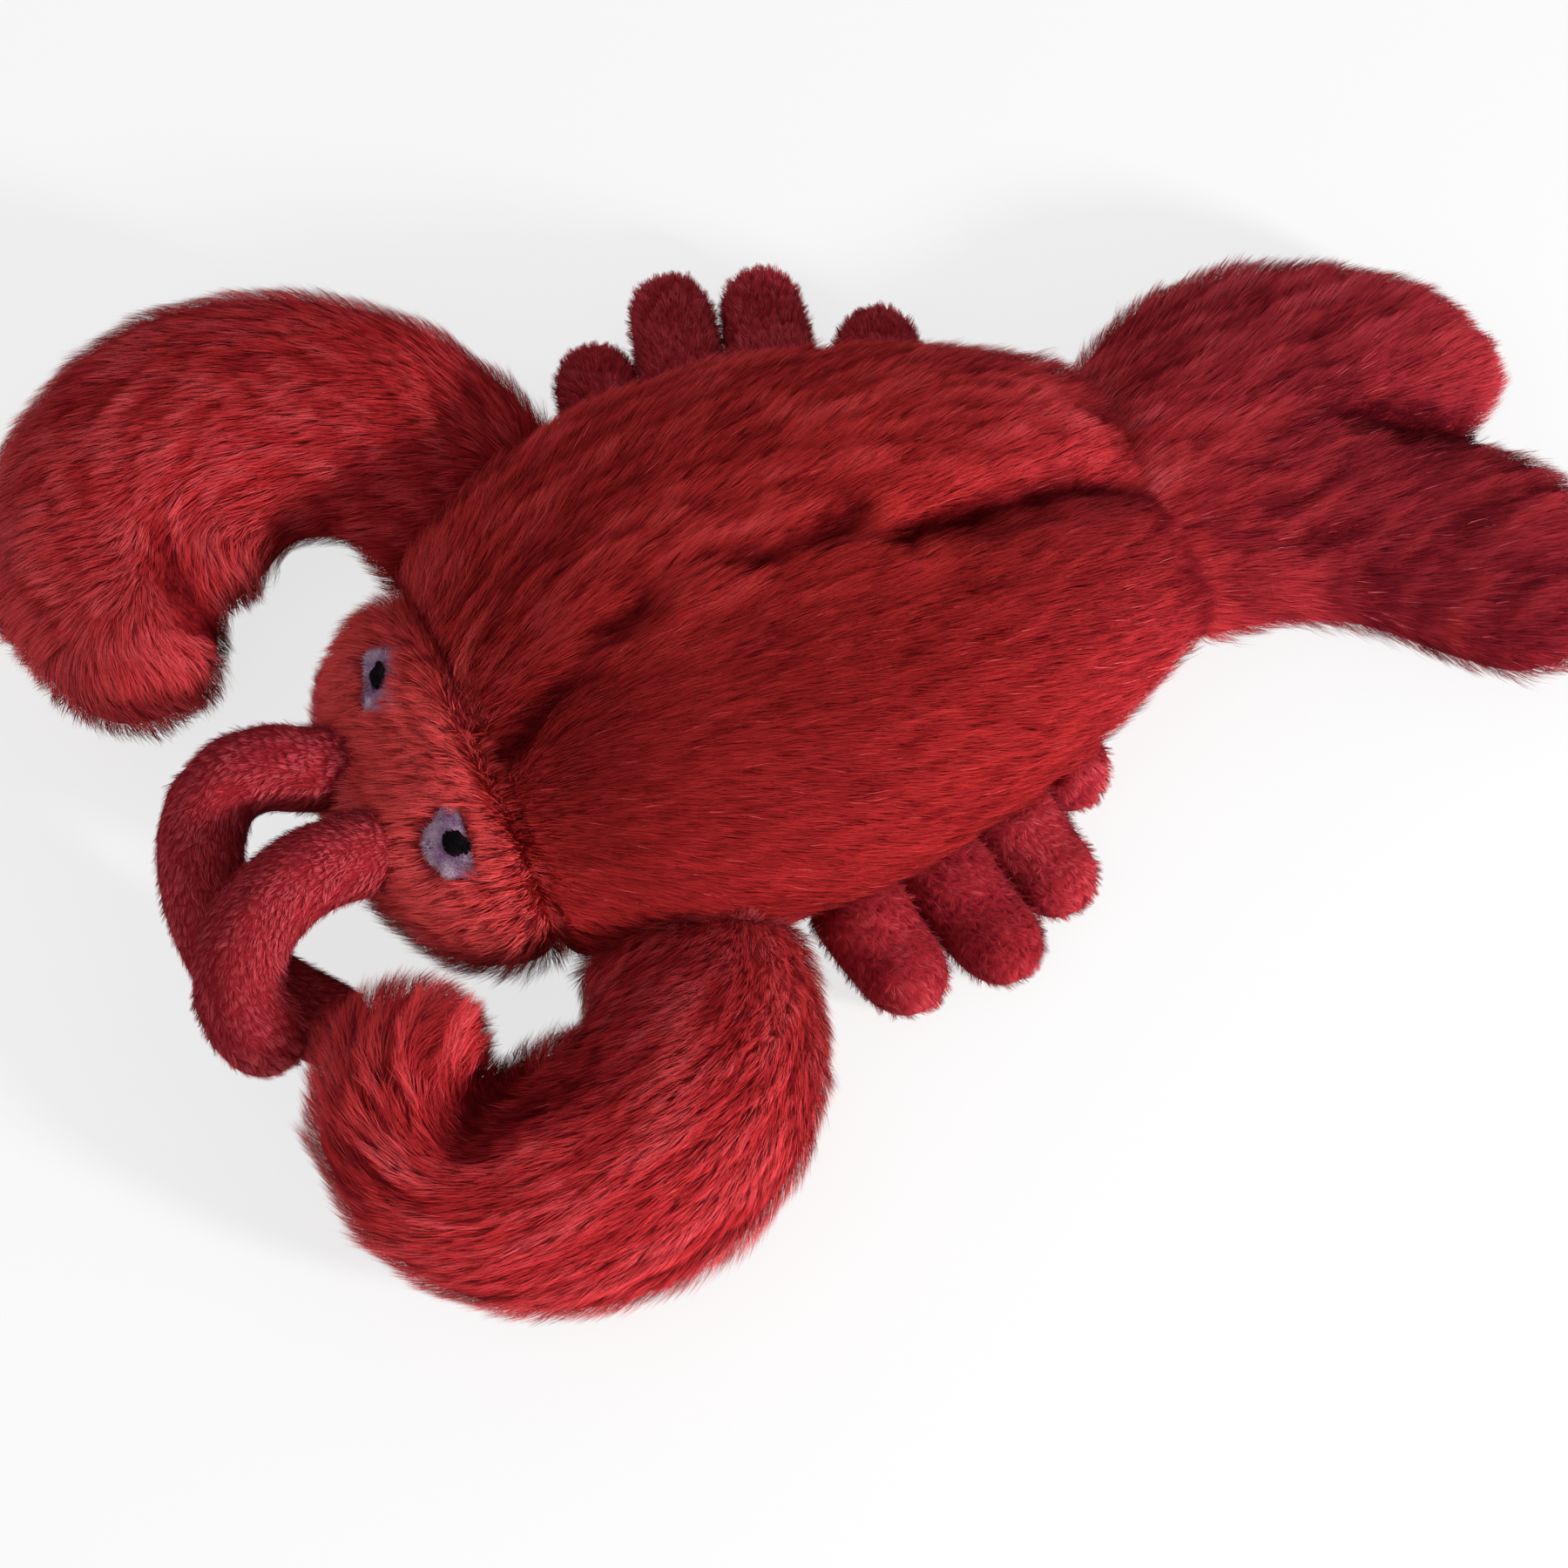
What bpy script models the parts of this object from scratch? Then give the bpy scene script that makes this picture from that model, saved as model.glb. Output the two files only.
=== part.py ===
"""Plush lobster dog toy: stuffed pieces sewn together, head toward -Y, tail toward +Y, resting on its belly.

Metres, +Z up. The origin is the middle of the flat belly. The lobster's own left side is +X.
"""

import math

import bmesh
import bpy
from mathutils import Vector
from mathutils.bvhtree import BVHTree

# Driving dimensions

SEAM_GAP = 0.0003  # between pieces that are sewn to each other
FLOOR = 0.0

BODY_LENGTH = 0.172  # from the seam behind the head to the waist
BODY_WIDTH = 0.141
BODY_HEIGHT = 0.062
SEAM_HEIGHT = 0.022  # of the side seam between back and belly
BELLY_SAG = 0.003  # how far the stuffed belly would hang below the floor that flattens it
HEAD_CURL = 0.0045  # how far the spine has curled to +X at the seam behind the head
TAIL_CURL = 0.0022  # and at the waist
TAIL_CURL_POWER = 3.0  # how fast the curl grows along the tail
SIDE_FULLNESS = 2.5  # how square the stuffed section is: 2 is an ellipse
BELLY_LIFT = 0.3  # share of the seam's height by which the belly rises to the waist
BELLY_LIFT_START = 0.85  # share of the body's length where it starts to rise

DORSAL_GROOVE_DEPTH = 0.0075
DORSAL_GROOVE_WIDTH = 0.0065
DORSAL_GROOVE_SWAY = 0.010  # how far to +X of the spine it wanders

HEAD_LENGTH = 0.036
HEAD_WIDTH = 0.098
HEAD_HEIGHT = 0.047
HEAD_FRONT_SAG = 0.21  # share of the head's length by which its cheeks lie behind its nose
HEAD_FRONT_ROUNDNESS = 2.2  # power by which the front falls back toward the cheeks
HEAD_SQUARENESS = 0.9  # power on the section's sine and cosine: 1 is an ellipse, less is squarer
NOSE_START = 0.72  # share of the head's length where it starts to close
NOSE_ROUNDNESS = 2.2
NOSE_END = 0.06  # what is left of its height at the very front, squared

TAIL_LENGTH = 0.105  # from the waist to the tips of the fan
TAIL_ROOT_HEIGHT = 0.036
TAIL_FAN_HEIGHT = 0.031
TAIL_LEFT_SPREAD = 0.070  # the fan's half widths from the spine
TAIL_RIGHT_SPREAD = 0.060
TAIL_NOTCH_DEPTH = 0.018
TAIL_NOTCH_WIDTH = 0.17  # share of the fan's half width
TAIL_CREASE_DEPTH = 0.006
TAIL_CREASE_START = 0.45  # shares of the tail's length: where the crease between the lobes starts,
TAIL_FLARE_END = 0.35  # where the root has become the fan,
TAIL_EDGE_START = 0.78  # and where the fan starts to close to its edge
TAIL_EDGE_END = 0.04  # what is left of its height at the edge, squared
TAIL_SQUARENESS = 0.85

CLAW_LEFT_WIDTH = 0.058  # across the palm
CLAW_RIGHT_WIDTH = 0.0635  # this one lies flatter
CLAW_HEIGHT = 0.049
CLAW_SQUARENESS = 0.92
CLAW_THUMB_DIAMETER = 0.023
CLAW_THUMB_SWELL = 0.15  # how much wider its root is
CLAW_THUMB_TALLNESS = 1.1  # its height for its width

ANTENNA_DIAMETER = 0.0190

LEG_DIAMETER = 0.0195
LEG_ROOT_DEPTH = 0.018  # how far each leg starts inside the side of the body
LEG_FLAT = 0.0007  # how much of its foot the floor flattens
LEG_ROOT_HEIGHT = 0.75  # share of the seam's height
LEG_KNEE_DROP = 0.002  # from the root to the knee

EYE_DIAMETER = 0.0165
EYE_THICKNESS = 0.0012
EYE_SPACING = 0.0456
EYE_BEHIND_NOSE = 0.0213
EYES_ASIDE = 0.0013  # how far to +X of the spine their middle lies
PUPIL_DIAMETER = 0.0078
PUPIL_THICKNESS = 0.0012
EYE_FACING = (0.40, -0.55, 0.73)  # outward, forward and up
EYE_CLEARANCE = 0.00039  # between the felt and the head's facets
EYE_RIM = 0.55  # share of the thickness that is left at the rim

# Shapes as shares of the driving dimensions: (share of the way along, share of the full size)

BODY_PLAN = ((0, 0.72), (0.04, 0.79), (0.10, 0.86), (0.18, 0.93), (0.30, 1.0), (0.46, 0.99), (0.62, 0.93),
             (0.75, 0.84), (0.86, 0.73), (0.95, 0.62), (1, 0.53))
BODY_TOP = ((0, 0.72), (0.05, 0.83), (0.15, 0.94), (0.30, 1.0), (0.50, 1.0), (0.70, 0.93), (0.86, 0.83),
            (0.96, 0.70), (1, 0.60))
GROOVE_ALONG = ((0, 0.30), (0.25, 0.38), (0.52, 0.42), (0.68, 1.0), (0.90, 1.0), (1, 0.70))
GROOVE_ASIDE = ((0, 1.0), (0.12, 0.85), (0.38, 0.25), (0.56, 0.0), (0.66, 0.55), (0.80, 0.60), (1, 0.30))
HEAD_PLAN = ((0, 0.96), (0.20, 1.0), (0.55, 0.93), (0.85, 0.78), (1, 0.58))
HEAD_TOP = ((0, 0.95), (0.20, 1.0), (0.55, 0.95), (0.85, 0.78), (1, 0.62))
HEAD_BOTTOM = ((0, -0.04), (0.50, 0.02), (0.80, 0.12), (1, 0.30))
TAIL_LEFT_PLAN = ((0, 0.54), (0.15, 0.56), (0.32, 0.58), (0.50, 0.68), (0.68, 0.87), (0.85, 1.0), (1, 0.98))
TAIL_RIGHT_PLAN = ((0, 0.60), (0.12, 0.72), (0.28, 0.87), (0.45, 0.98), (0.65, 1.0), (0.85, 0.98), (1, 0.93))
TAIL_REACH = ((-1, 0.78), (-0.80, 0.945), (-0.45, 0.995), (0.45, 0.97), (0.80, 0.91), (1, 0.76))
CLAW_WIDTHS = ((0, 0.82), (0.20, 0.85), (0.40, 0.98), (0.55, 1.0), (0.72, 0.86), (0.88, 0.68), (1, 0.60))
CLAW_HEIGHTS = ((0, 0.60), (0.16, 0.72), (0.36, 0.94), (0.52, 1.0), (0.72, 0.88), (0.88, 0.74), (1, 0.68))

# Routes of the limbs, chosen by hand: the middle of each limb from inside its root to its tip

CLAW_LEFT_ROUTE = ((0.044, -0.059, 0.014), (0.070, -0.061, 0.017), (0.091, -0.067, 0.022),
                   (0.106, -0.081, 0.024), (0.111, -0.101, 0.024), (0.106, -0.121, 0.024),
                   (0.094, -0.134, 0.026), (0.080, -0.136, 0.029), (0.072, -0.127, 0.031),
                   (0.072, -0.117, 0.032))
CLAW_RIGHT_ROUTE = ((-0.044, -0.056, 0.014), (-0.066, -0.059, 0.018), (-0.089, -0.068, 0.023),
                    (-0.105, -0.088, 0.024), (-0.112, -0.112, 0.024), (-0.106, -0.134, 0.024),
                    (-0.088, -0.148, 0.023), (-0.067, -0.149, 0.023), (-0.045, -0.140, 0.023))
THUMB_LEFT_ROUTE = ((0.104, -0.092, 0.020), (0.093, -0.102, 0.020), (0.085, -0.118, 0.020))
THUMB_RIGHT_ROUTE = ((-0.096, -0.092, 0.022), (-0.086, -0.110, 0.023), (-0.070, -0.131, 0.024))
ANTENNA_LEFT_ROUTE = ((0.017, -0.100, 0.029), (0.018, -0.118, 0.032), (0.021, -0.137, 0.039),
                      (0.031, -0.154, 0.040), (0.045, -0.161, 0.036), (0.059, -0.154, 0.032))
ANTENNA_RIGHT_ROUTE = ((-0.006, -0.100, 0.028), (-0.006, -0.119, 0.031), (-0.012, -0.134, 0.034),
                       (-0.011, -0.146, 0.033), (0.000, -0.155, 0.029), (0.014, -0.158, 0.021),
                       (0.026, -0.156, 0.014), (0.037, -0.148, 0.0092), (0.051, -0.137, 0.0086))
# Per leg, front to back: where along the body it is sewn in, and its foot from there, outward and backward
LEG_ROOTS = (-0.0215, -0.001, 0.0195, 0.040)
LEG_LEFT_FEET = ((0.045, 0.008), (0.049, 0.012), (0.042, 0.011), (0.023, 0.0055))
LEG_RIGHT_FEET = ((0.050, 0.009), (0.063, 0.015), (0.058, 0.017), (0.040, 0.020))
LEG_KNEE = (0.36, 0.30)  # shares of the way to the foot, outward and backward
LEG_SHIN = (0.66, 0.62)

# Mesh fineness

DOME_STEPS = 26
BODY_STATIONS = 34
BELLY_STEPS = 14
HEAD_RING = 36
HEAD_STATIONS = 12
TAIL_RING = 40
TAIL_STATIONS = 18
CLAW_RING = 20
CLAW_STATIONS = 22
THUMB_RING = 12
THUMB_STATIONS = 9
ANTENNA_RING = 12
ANTENNA_STATIONS = 22
LEG_RING = 10
LEG_STATIONS = 9
EYE_RING = 12
EYE_RINGS = (0.0, 0.5, 1.0)  # shares of the radius
EYE_PROBE = 0.03  # how far in front of the head the search for its surface starts

BODY_END_TRIM = 0.08  # share of a half turn that is left off at each end of the body, which ends bluntly
DOME_CROWDING = 1.12  # how much closer together the back's points lie near the spine
TIP_SHARE = 0.38  # share of a limb's stations that its rounded tip takes
TIP_TURN = 0.94  # share of the quarter turn that the tip rounds off before its cap
ROUTE_FINENESS = 400
BEND_REACH = 0.007  # how far to each side of a place its bend is measured
BEND_FILL = 0.88  # share of a bend's radius that the inner side of a limb may fill
LEAST_BEND = 1.0  # per metre: anything straighter counts as this
CUTTER_DROP = 0.006  # how far a cutter's underside lies below the floor, clear of the flattened pieces


def profile(points, t):
    """A smooth curve through (position, value) points, level at its ends."""
    if t <= points[0][0]:
        return points[0][1]
    for i in range(len(points) - 1):
        (t0, v0), (t1, v1) = points[i], points[i + 1]
        if t <= t1:
            slope0 = slope_at(points, i)
            slope1 = slope_at(points, i + 1)
            k = (t - t0) / (t1 - t0)
            span = t1 - t0
            return ((1 + 2 * k) * (1 - k) ** 2 * v0 + k * (1 - k) ** 2 * span * slope0
                    + k * k * (3 - 2 * k) * v1 + k * k * (k - 1) * span * slope1)
    return points[-1][1]


def slope_at(points, i):
    low, high = points[max(i - 1, 0)], points[min(i + 1, len(points) - 1)]
    return (high[1] - low[1]) / (high[0] - low[0])


def spine_x(y):
    """The toy lies curled sideways: its middle line bends to +X toward the head and toward the tail."""
    share = 2 * abs(y) / BODY_LENGTH
    return HEAD_CURL * share ** 2 if y < 0 else TAIL_CURL * share ** TAIL_CURL_POWER


def material(name, colour, roughness):
    made = bpy.data.materials.new(name)
    made.use_nodes = True
    shader = made.node_tree.nodes["Principled BSDF"]
    shader.inputs["Base Color"].default_value = (*colour, 1)
    shader.inputs["Roughness"].default_value = roughness
    shader.inputs["Metallic"].default_value = 0
    return made


def lofted(name, rings, finish, close="fan"):
    """One closed body skinned over rings of points; close is fan or strip, for the last ring's cap."""
    bm = bmesh.new()
    loops = [[bm.verts.new(p) for p in ring] for ring in rings]
    n = len(loops[0])
    for low, high in zip(loops, loops[1:]):
        for j in range(n):
            bm.faces.new((low[j], low[(j + 1) % n], high[(j + 1) % n], high[j]))
    cap(bm, loops[0])
    if close == "strip":
        last = loops[-1]
        for j in range(n // 2):
            corners = (last[j], last[j + 1], last[n - j - 1], last[(n - j) % n])
            bm.faces.new(list(dict.fromkeys(corners)))
    else:
        cap(bm, loops[-1])
    bmesh.ops.triangulate(bm, faces=bm.faces[:])
    bmesh.ops.recalc_face_normals(bm, faces=bm.faces[:])
    mesh = bpy.data.meshes.new(name)
    bm.to_mesh(mesh)
    bm.free()
    mesh.shade_smooth()
    made = bpy.data.objects.new(name, mesh)
    bpy.context.collection.objects.link(made)
    if finish:
        mesh.materials.append(finish)
    return made


def cap(bm, loop):
    middle = bm.verts.new(sum((v.co for v in loop), Vector()) / len(loop))
    for j in range(len(loop)):
        bm.faces.new((loop[j], loop[(j + 1) % len(loop)], middle))


def guide(made):
    made.hide_render = True
    made.display_type = "WIRE"
    return made


def boolean(made, other, operation="DIFFERENCE"):
    step = made.modifiers.new(f"{operation.lower()}_{other.name}", "BOOLEAN")
    step.operation = operation
    step.solver = "EXACT"
    step.object = other


# Body: the long-pile back and the short-pile belly, sewn together along the side seam


def body_section(t, grow=0.0):
    """Where the body's section lies at share t of its length: y, middle, half width and top."""
    y = (t - 0.5) * (BODY_LENGTH + 2 * grow)
    half = BODY_WIDTH / 2 * profile(BODY_PLAN, t) + grow
    top = BODY_HEIGHT * profile(BODY_TOP, t) + grow
    return y, spine_x(y), half, top


def dome_height(x, middle, half, top, base, t, grow):
    share = min(abs(x - middle) / half, 1.0)
    dome = base + (top - base) * (1 - share ** SIDE_FULLNESS) ** (1 / SIDE_FULLNESS)
    aside = (x - middle - DORSAL_GROOVE_SWAY * profile(GROOVE_ASIDE, t)) / DORSAL_GROOVE_WIDTH
    if grow:
        return dome
    return dome - DORSAL_GROOVE_DEPTH * profile(GROOVE_ALONG, t) * math.exp(-aside * aside)


def dome_points(t, base, grow=0.0):
    """The upper half of a section, from +X over the spine to -X, closer together near the spine."""
    y, middle, half, top = body_section(t, grow)
    points = []
    for j in range(DOME_STEPS + 1):
        v = 1 - 2 * j / DOME_STEPS
        share = math.copysign(math.sin(abs(v) * math.pi / 2) ** DOME_CROWDING, v)
        x = middle + half * share
        points.append((x, y, dome_height(x, middle, half, top, base, t, grow)))
    return points


def belly_points(t, rim, floor, grow=0.0):
    """The lower half of a section, from -X under the belly to +X."""
    y, middle, half, _ = body_section(t, grow)
    lift = belly_lift(t)
    points = []
    for j in range(BELLY_STEPS + 1):
        v = -1 + 2 * j / BELLY_STEPS
        share = math.sin(v * math.pi / 2)
        depth = (rim + BELLY_SAG - lift + grow) * (1 - abs(share) ** SIDE_FULLNESS) ** (1 / SIDE_FULLNESS)
        points.append((middle + half * share, y, max(rim - depth, floor)))
    return points


def belly_lift(t):
    """The belly rises off the floor toward the waist."""
    return BELLY_LIFT * SEAM_HEIGHT * max(0.0, (t - BELLY_LIFT_START) / (1 - BELLY_LIFT_START)) ** 2


def body_stations():
    """Closer together at both ends, where the stuffed form turns in."""
    end = math.cos(math.pi * BODY_END_TRIM)
    turns = [BODY_END_TRIM + (1 - 2 * BODY_END_TRIM) * i / BODY_STATIONS for i in range(BODY_STATIONS + 1)]
    return [0.5 - 0.5 * math.cos(math.pi * turn) / end for turn in turns]


def make_back(finish):
    base = SEAM_HEIGHT + SEAM_GAP
    return lofted("back_cover", [dome_points(t, base) for t in body_stations()], finish)


def make_belly(finish):
    return lofted("belly_panel", [belly_points(t, SEAM_HEIGHT, FLOOR) for t in body_stations()], finish)


def body_form():
    """Back and belly as one form, larger by the seam's gap, to cut the limbs' roots with."""
    rings = []
    for t in body_stations():
        upper = dome_points(t, SEAM_HEIGHT, SEAM_GAP)
        lower = belly_points(t, SEAM_HEIGHT, -CUTTER_DROP, SEAM_GAP)
        rings.append(upper + lower[1:-1])
    return guide(lofted("body_form", rings, None))


# Head


def head_ring(t, grow=0.0, floor=FLOOR):
    seam_y = -BODY_LENGTH / 2 - SEAM_GAP
    half = HEAD_WIDTH / 2 * profile(HEAD_PLAN, t) + grow
    top = HEAD_HEIGHT * profile(HEAD_TOP, t) + grow
    bottom = HEAD_HEIGHT * profile(HEAD_BOTTOM, t) - grow
    points = []
    for j in range(HEAD_RING):
        angle = 2 * math.pi * j / HEAD_RING
        across = signed_power(math.cos(angle), HEAD_SQUARENESS)
        rise = signed_power(math.sin(angle), HEAD_SQUARENESS)
        length = (HEAD_LENGTH + grow) * (1 - HEAD_FRONT_SAG * abs(across) ** HEAD_FRONT_ROUNDNESS)
        y = seam_y - t * length
        z = (top + bottom) / 2 + (top - bottom) / 2 * rise
        points.append((spine_x(y) + half * across, y, max(z, floor)))
    return points


def signed_power(value, power):
    return math.copysign(abs(value) ** power, value)


def head_stations():
    return [math.sin(math.pi / 2 * i / HEAD_STATIONS) for i in range(HEAD_STATIONS + 1)]


def nose_cap(t):
    """Shrinks the last stretch of the head into a rounded nose."""
    if t <= NOSE_START:
        return 1.0
    closed = ((t - NOSE_START) / (1 - NOSE_START)) ** NOSE_ROUNDNESS
    return math.sqrt((1 - closed) * (1 - NOSE_END) + NOSE_END)


def head_rings(grow=0.0, floor=FLOOR):
    rings = []
    for t in head_stations():
        ring = head_ring(t, grow, floor)
        middle = (max(p[2] for p in ring) + min(p[2] for p in ring)) / 2
        k = nose_cap(t)
        rings.append([(x, y, middle + (z - middle) * k) for x, y, z in ring])
    return rings


def make_head(finish):
    return lofted("head", head_rings(), finish, close="strip")


def head_form():
    return guide(lofted("head_form", head_rings(SEAM_GAP, -CUTTER_DROP), None, close="strip"))


# Tail: one stuffed piece that flares into a fan of two lobes


def fan_reach(across):
    notch = TAIL_NOTCH_DEPTH * math.exp(-(across / TAIL_NOTCH_WIDTH) ** 2)
    return TAIL_LENGTH * profile(TAIL_REACH, across) - notch


def tail_ring(t):
    root_y = BODY_LENGTH / 2 + SEAM_GAP
    left = TAIL_LEFT_SPREAD * profile(TAIL_LEFT_PLAN, t)
    right = TAIL_RIGHT_SPREAD * profile(TAIL_RIGHT_PLAN, t)
    flare = min(t / TAIL_FLARE_END, 1.0)
    height = TAIL_ROOT_HEIGHT * (1 - flare) + TAIL_FAN_HEIGHT * flare
    middle_z = height / 2
    if t > TAIL_EDGE_START:
        closed = ((t - TAIL_EDGE_START) / (1 - TAIL_EDGE_START)) ** 2
        height *= math.sqrt((1 - closed) * (1 - TAIL_EDGE_END) + TAIL_EDGE_END)
    crease_depth = TAIL_CREASE_DEPTH * max(0.0, (t - TAIL_CREASE_START) / (1 - TAIL_CREASE_START))
    points = []
    for j in range(TAIL_RING):
        angle = 2 * math.pi * j / TAIL_RING
        across = math.cos(angle)
        rise = signed_power(math.sin(angle), TAIL_SQUARENESS)
        y = root_y + t * fan_reach(across)
        side = left if across > 0 else right
        crease = crease_depth * math.exp(-(across / TAIL_NOTCH_WIDTH) ** 2)
        z = middle_z + (height / 2 - crease) * rise
        points.append((spine_x(y) + side * across, y, max(z, FLOOR)))
    return points


def make_tail(finish):
    stations = [math.sin(math.pi / 2 * i / TAIL_STATIONS) for i in range(TAIL_STATIONS + 1)]
    return lofted("tail_fan", [tail_ring(t) for t in stations], finish, close="strip")


# Limbs: stuffed tubes and mitts along a route, with rounded tips, flattened where they lie on the floor


def curve_point(points, t):
    """A smooth curve through the points, at t from 0 to 1 of its points' own spacing."""
    spans = len(points) - 1
    i = min(int(t * spans), spans - 1)
    k = t * spans - i
    p0, p1 = Vector(points[max(i - 1, 0)]), Vector(points[i])
    p2, p3 = Vector(points[i + 1]), Vector(points[min(i + 2, spans)])
    return 0.5 * (2 * p1 + (p2 - p0) * k + (2 * p0 - 5 * p1 + 4 * p2 - p3) * k * k
                  + (3 * p1 - p0 - 3 * p2 + p3) * k ** 3)


def route_samples(points):
    """Points of the smooth curve with their distance along it."""
    samples = [curve_point(points, i / ROUTE_FINENESS) for i in range(ROUTE_FINENESS + 1)]
    along = [0.0]
    for a, b in zip(samples, samples[1:]):
        along.append(along[-1] + (b - a).length)
    return samples, along


def at_distance(samples, along, distance):
    distance = max(distance, 0.0)
    for i in range(len(along) - 1):
        if along[i + 1] >= distance:
            k = (distance - along[i]) / (along[i + 1] - along[i])
            place = samples[i].lerp(samples[i + 1], k)
            return place, (samples[i + 1] - samples[i]).normalized()
    return samples[-1], (samples[-1] - samples[-2]).normalized()


def limb(name, route, widths, heights, ring_points, stations, finish, power=1.0):
    """widths and heights are full sizes as functions of the share along the route."""
    samples, along = route_samples(route)
    length = along[-1]
    tip = widths(1.0) / 2
    straight = length - tip
    rings = []
    for i in range(stations + 1):
        k = i / stations
        if k < 1 - TIP_SHARE:
            distance = straight * k / (1 - TIP_SHARE)
            shrink = 1.0
        else:
            turn = (k - (1 - TIP_SHARE)) / TIP_SHARE * math.pi / 2 * TIP_TURN
            distance = straight + tip * math.sin(turn)
            shrink = math.cos(turn)
        place, tangent = at_distance(samples, along, distance)
        before = at_distance(samples, along, distance - BEND_REACH)[1]
        after = at_distance(samples, along, distance + BEND_REACH)[1]
        share = distance / length
        side = tangent.cross(Vector((0, 0, 1))).normalized()
        up = side.cross(tangent)
        inward = (after - before).dot(side) / (2 * BEND_REACH)
        half = widths(share) / 2
        radius = BEND_FILL / max(abs(inward), LEAST_BEND)
        outer = half * shrink
        inner = min(half, radius) * shrink
        rise = heights(share) / 2 * shrink
        ring = []
        for j in range(ring_points):
            angle = 2 * math.pi * j / ring_points
            across = signed_power(math.cos(angle), power)
            reach = inner if across * inward > 0 else outer
            point = (place + side * reach * across
                     + up * rise * signed_power(math.sin(angle), power))
            ring.append((point.x, point.y, max(point.z, FLOOR)))
        rings.append(ring)
    return lofted(name, rings, finish)


def make_claw(side, width, route, thumb_route, finish, cutters):
    claw = limb(f"claw_{side}", route, lambda t: width * profile(CLAW_WIDTHS, t),
                lambda t: CLAW_HEIGHT * profile(CLAW_HEIGHTS, t), CLAW_RING, CLAW_STATIONS, finish,
                CLAW_SQUARENESS)
    thumb = limb(f"thumb_{side}", thumb_route,
                 lambda t: CLAW_THUMB_DIAMETER * (1 + CLAW_THUMB_SWELL * (1 - t)),
                 lambda t: CLAW_THUMB_DIAMETER * CLAW_THUMB_TALLNESS, THUMB_RING, THUMB_STATIONS, finish)
    boolean(claw, guide(thumb), "UNION")
    for cutter in cutters:
        boolean(claw, cutter)


def make_antenna(name, route, finish, cutter):
    antenna = limb(name, route, lambda t: ANTENNA_DIAMETER, lambda t: ANTENNA_DIAMETER, ANTENNA_RING,
                   ANTENNA_STATIONS, finish)
    boolean(antenna, cutter)


def leg_route(side, index):
    """From inside the side seam, out over a low knee, and down to the floor."""
    root_y = LEG_ROOTS[index]
    _, middle, half, _ = body_section(root_y / BODY_LENGTH + 0.5)
    out, back = (LEG_LEFT_FEET if side > 0 else LEG_RIGHT_FEET)[index]
    root_height = LEG_ROOT_HEIGHT * SEAM_HEIGHT
    rest = LEG_DIAMETER / 2 - LEG_FLAT
    places = ((0, 0, root_height), (*LEG_KNEE, root_height - LEG_KNEE_DROP), (*LEG_SHIN, rest), (1, 1, rest))
    return [(middle + side * (half - LEG_ROOT_DEPTH + out * outward), root_y + back * backward, z)
            for outward, backward, z in places]


def make_leg(name, route, finish, cutter):
    leg = limb(name, route, lambda t: LEG_DIAMETER, lambda t: LEG_DIAMETER, LEG_RING, LEG_STATIONS, finish)
    boolean(leg, cutter)


# Eyes: a felt patch that follows the head, with an embroidered pupil on it


def surface_disc(name, tree, middle, facing, diameter, lift, thickness, finish):
    """A disc pressed onto the head: both of its sides follow the surface that the tree holds."""
    across = facing.cross(Vector((0, 0, 1))).normalized()
    up = across.cross(facing)
    under, upper = [], []
    for share in EYE_RINGS:
        count = 1 if share == 0 else EYE_RING
        for j in range(count):
            angle = 2 * math.pi * j / EYE_RING
            start = middle + (across * math.cos(angle) + up * math.sin(angle)) * diameter / 2 * share
            hit = tree.ray_cast(start + facing * EYE_PROBE, -facing)[0]
            crown = thickness * (1 if share < 1 else EYE_RIM)
            under.append(hit + facing * lift)
            upper.append(hit + facing * (lift + crown))
    bm = bmesh.new()
    low = [bm.verts.new(p) for p in under]
    high = [bm.verts.new(p) for p in upper]
    n = EYE_RING
    for layer in (low, high):
        inner, outer = layer[1:n + 1], layer[n + 1:]
        for j in range(n):
            bm.faces.new((layer[0], inner[j], inner[(j + 1) % n]))
            bm.faces.new((inner[j], outer[j], outer[(j + 1) % n], inner[(j + 1) % n]))
    for j in range(n):
        bm.faces.new((low[n + 1 + j], low[n + 1 + (j + 1) % n], high[n + 1 + (j + 1) % n], high[n + 1 + j]))
    bmesh.ops.triangulate(bm, faces=bm.faces[:])
    bmesh.ops.recalc_face_normals(bm, faces=bm.faces[:])
    mesh = bpy.data.meshes.new(name)
    bm.to_mesh(mesh)
    bm.free()
    mesh.materials.append(finish)
    made = bpy.data.objects.new(name, mesh)
    bpy.context.collection.objects.link(made)
    return made


def make_eye(side_name, side, head, patch_finish, pupil_finish):
    tree = BVHTree.FromPolygons([v.co[:] for v in head.data.vertices],
                                [p.vertices[:] for p in head.data.polygons])
    eye_y = -BODY_LENGTH / 2 - HEAD_LENGTH + EYE_BEHIND_NOSE
    x = spine_x(eye_y) + EYES_ASIDE + side * EYE_SPACING / 2
    middle = tree.ray_cast(Vector((x, eye_y, HEAD_HEIGHT * 2)), Vector((0, 0, -1)))[0]
    outward, forward, up = EYE_FACING
    facing = Vector((side * outward, forward, up)).normalized()
    surface_disc(f"eye_patch_{side_name}", tree, middle, facing, EYE_DIAMETER, EYE_CLEARANCE, EYE_THICKNESS,
                 patch_finish)
    surface_disc(f"pupil_{side_name}", tree, middle, facing, PUPIL_DIAMETER,
                 EYE_CLEARANCE + EYE_THICKNESS + SEAM_GAP, PUPIL_THICKNESS, pupil_finish)


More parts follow.
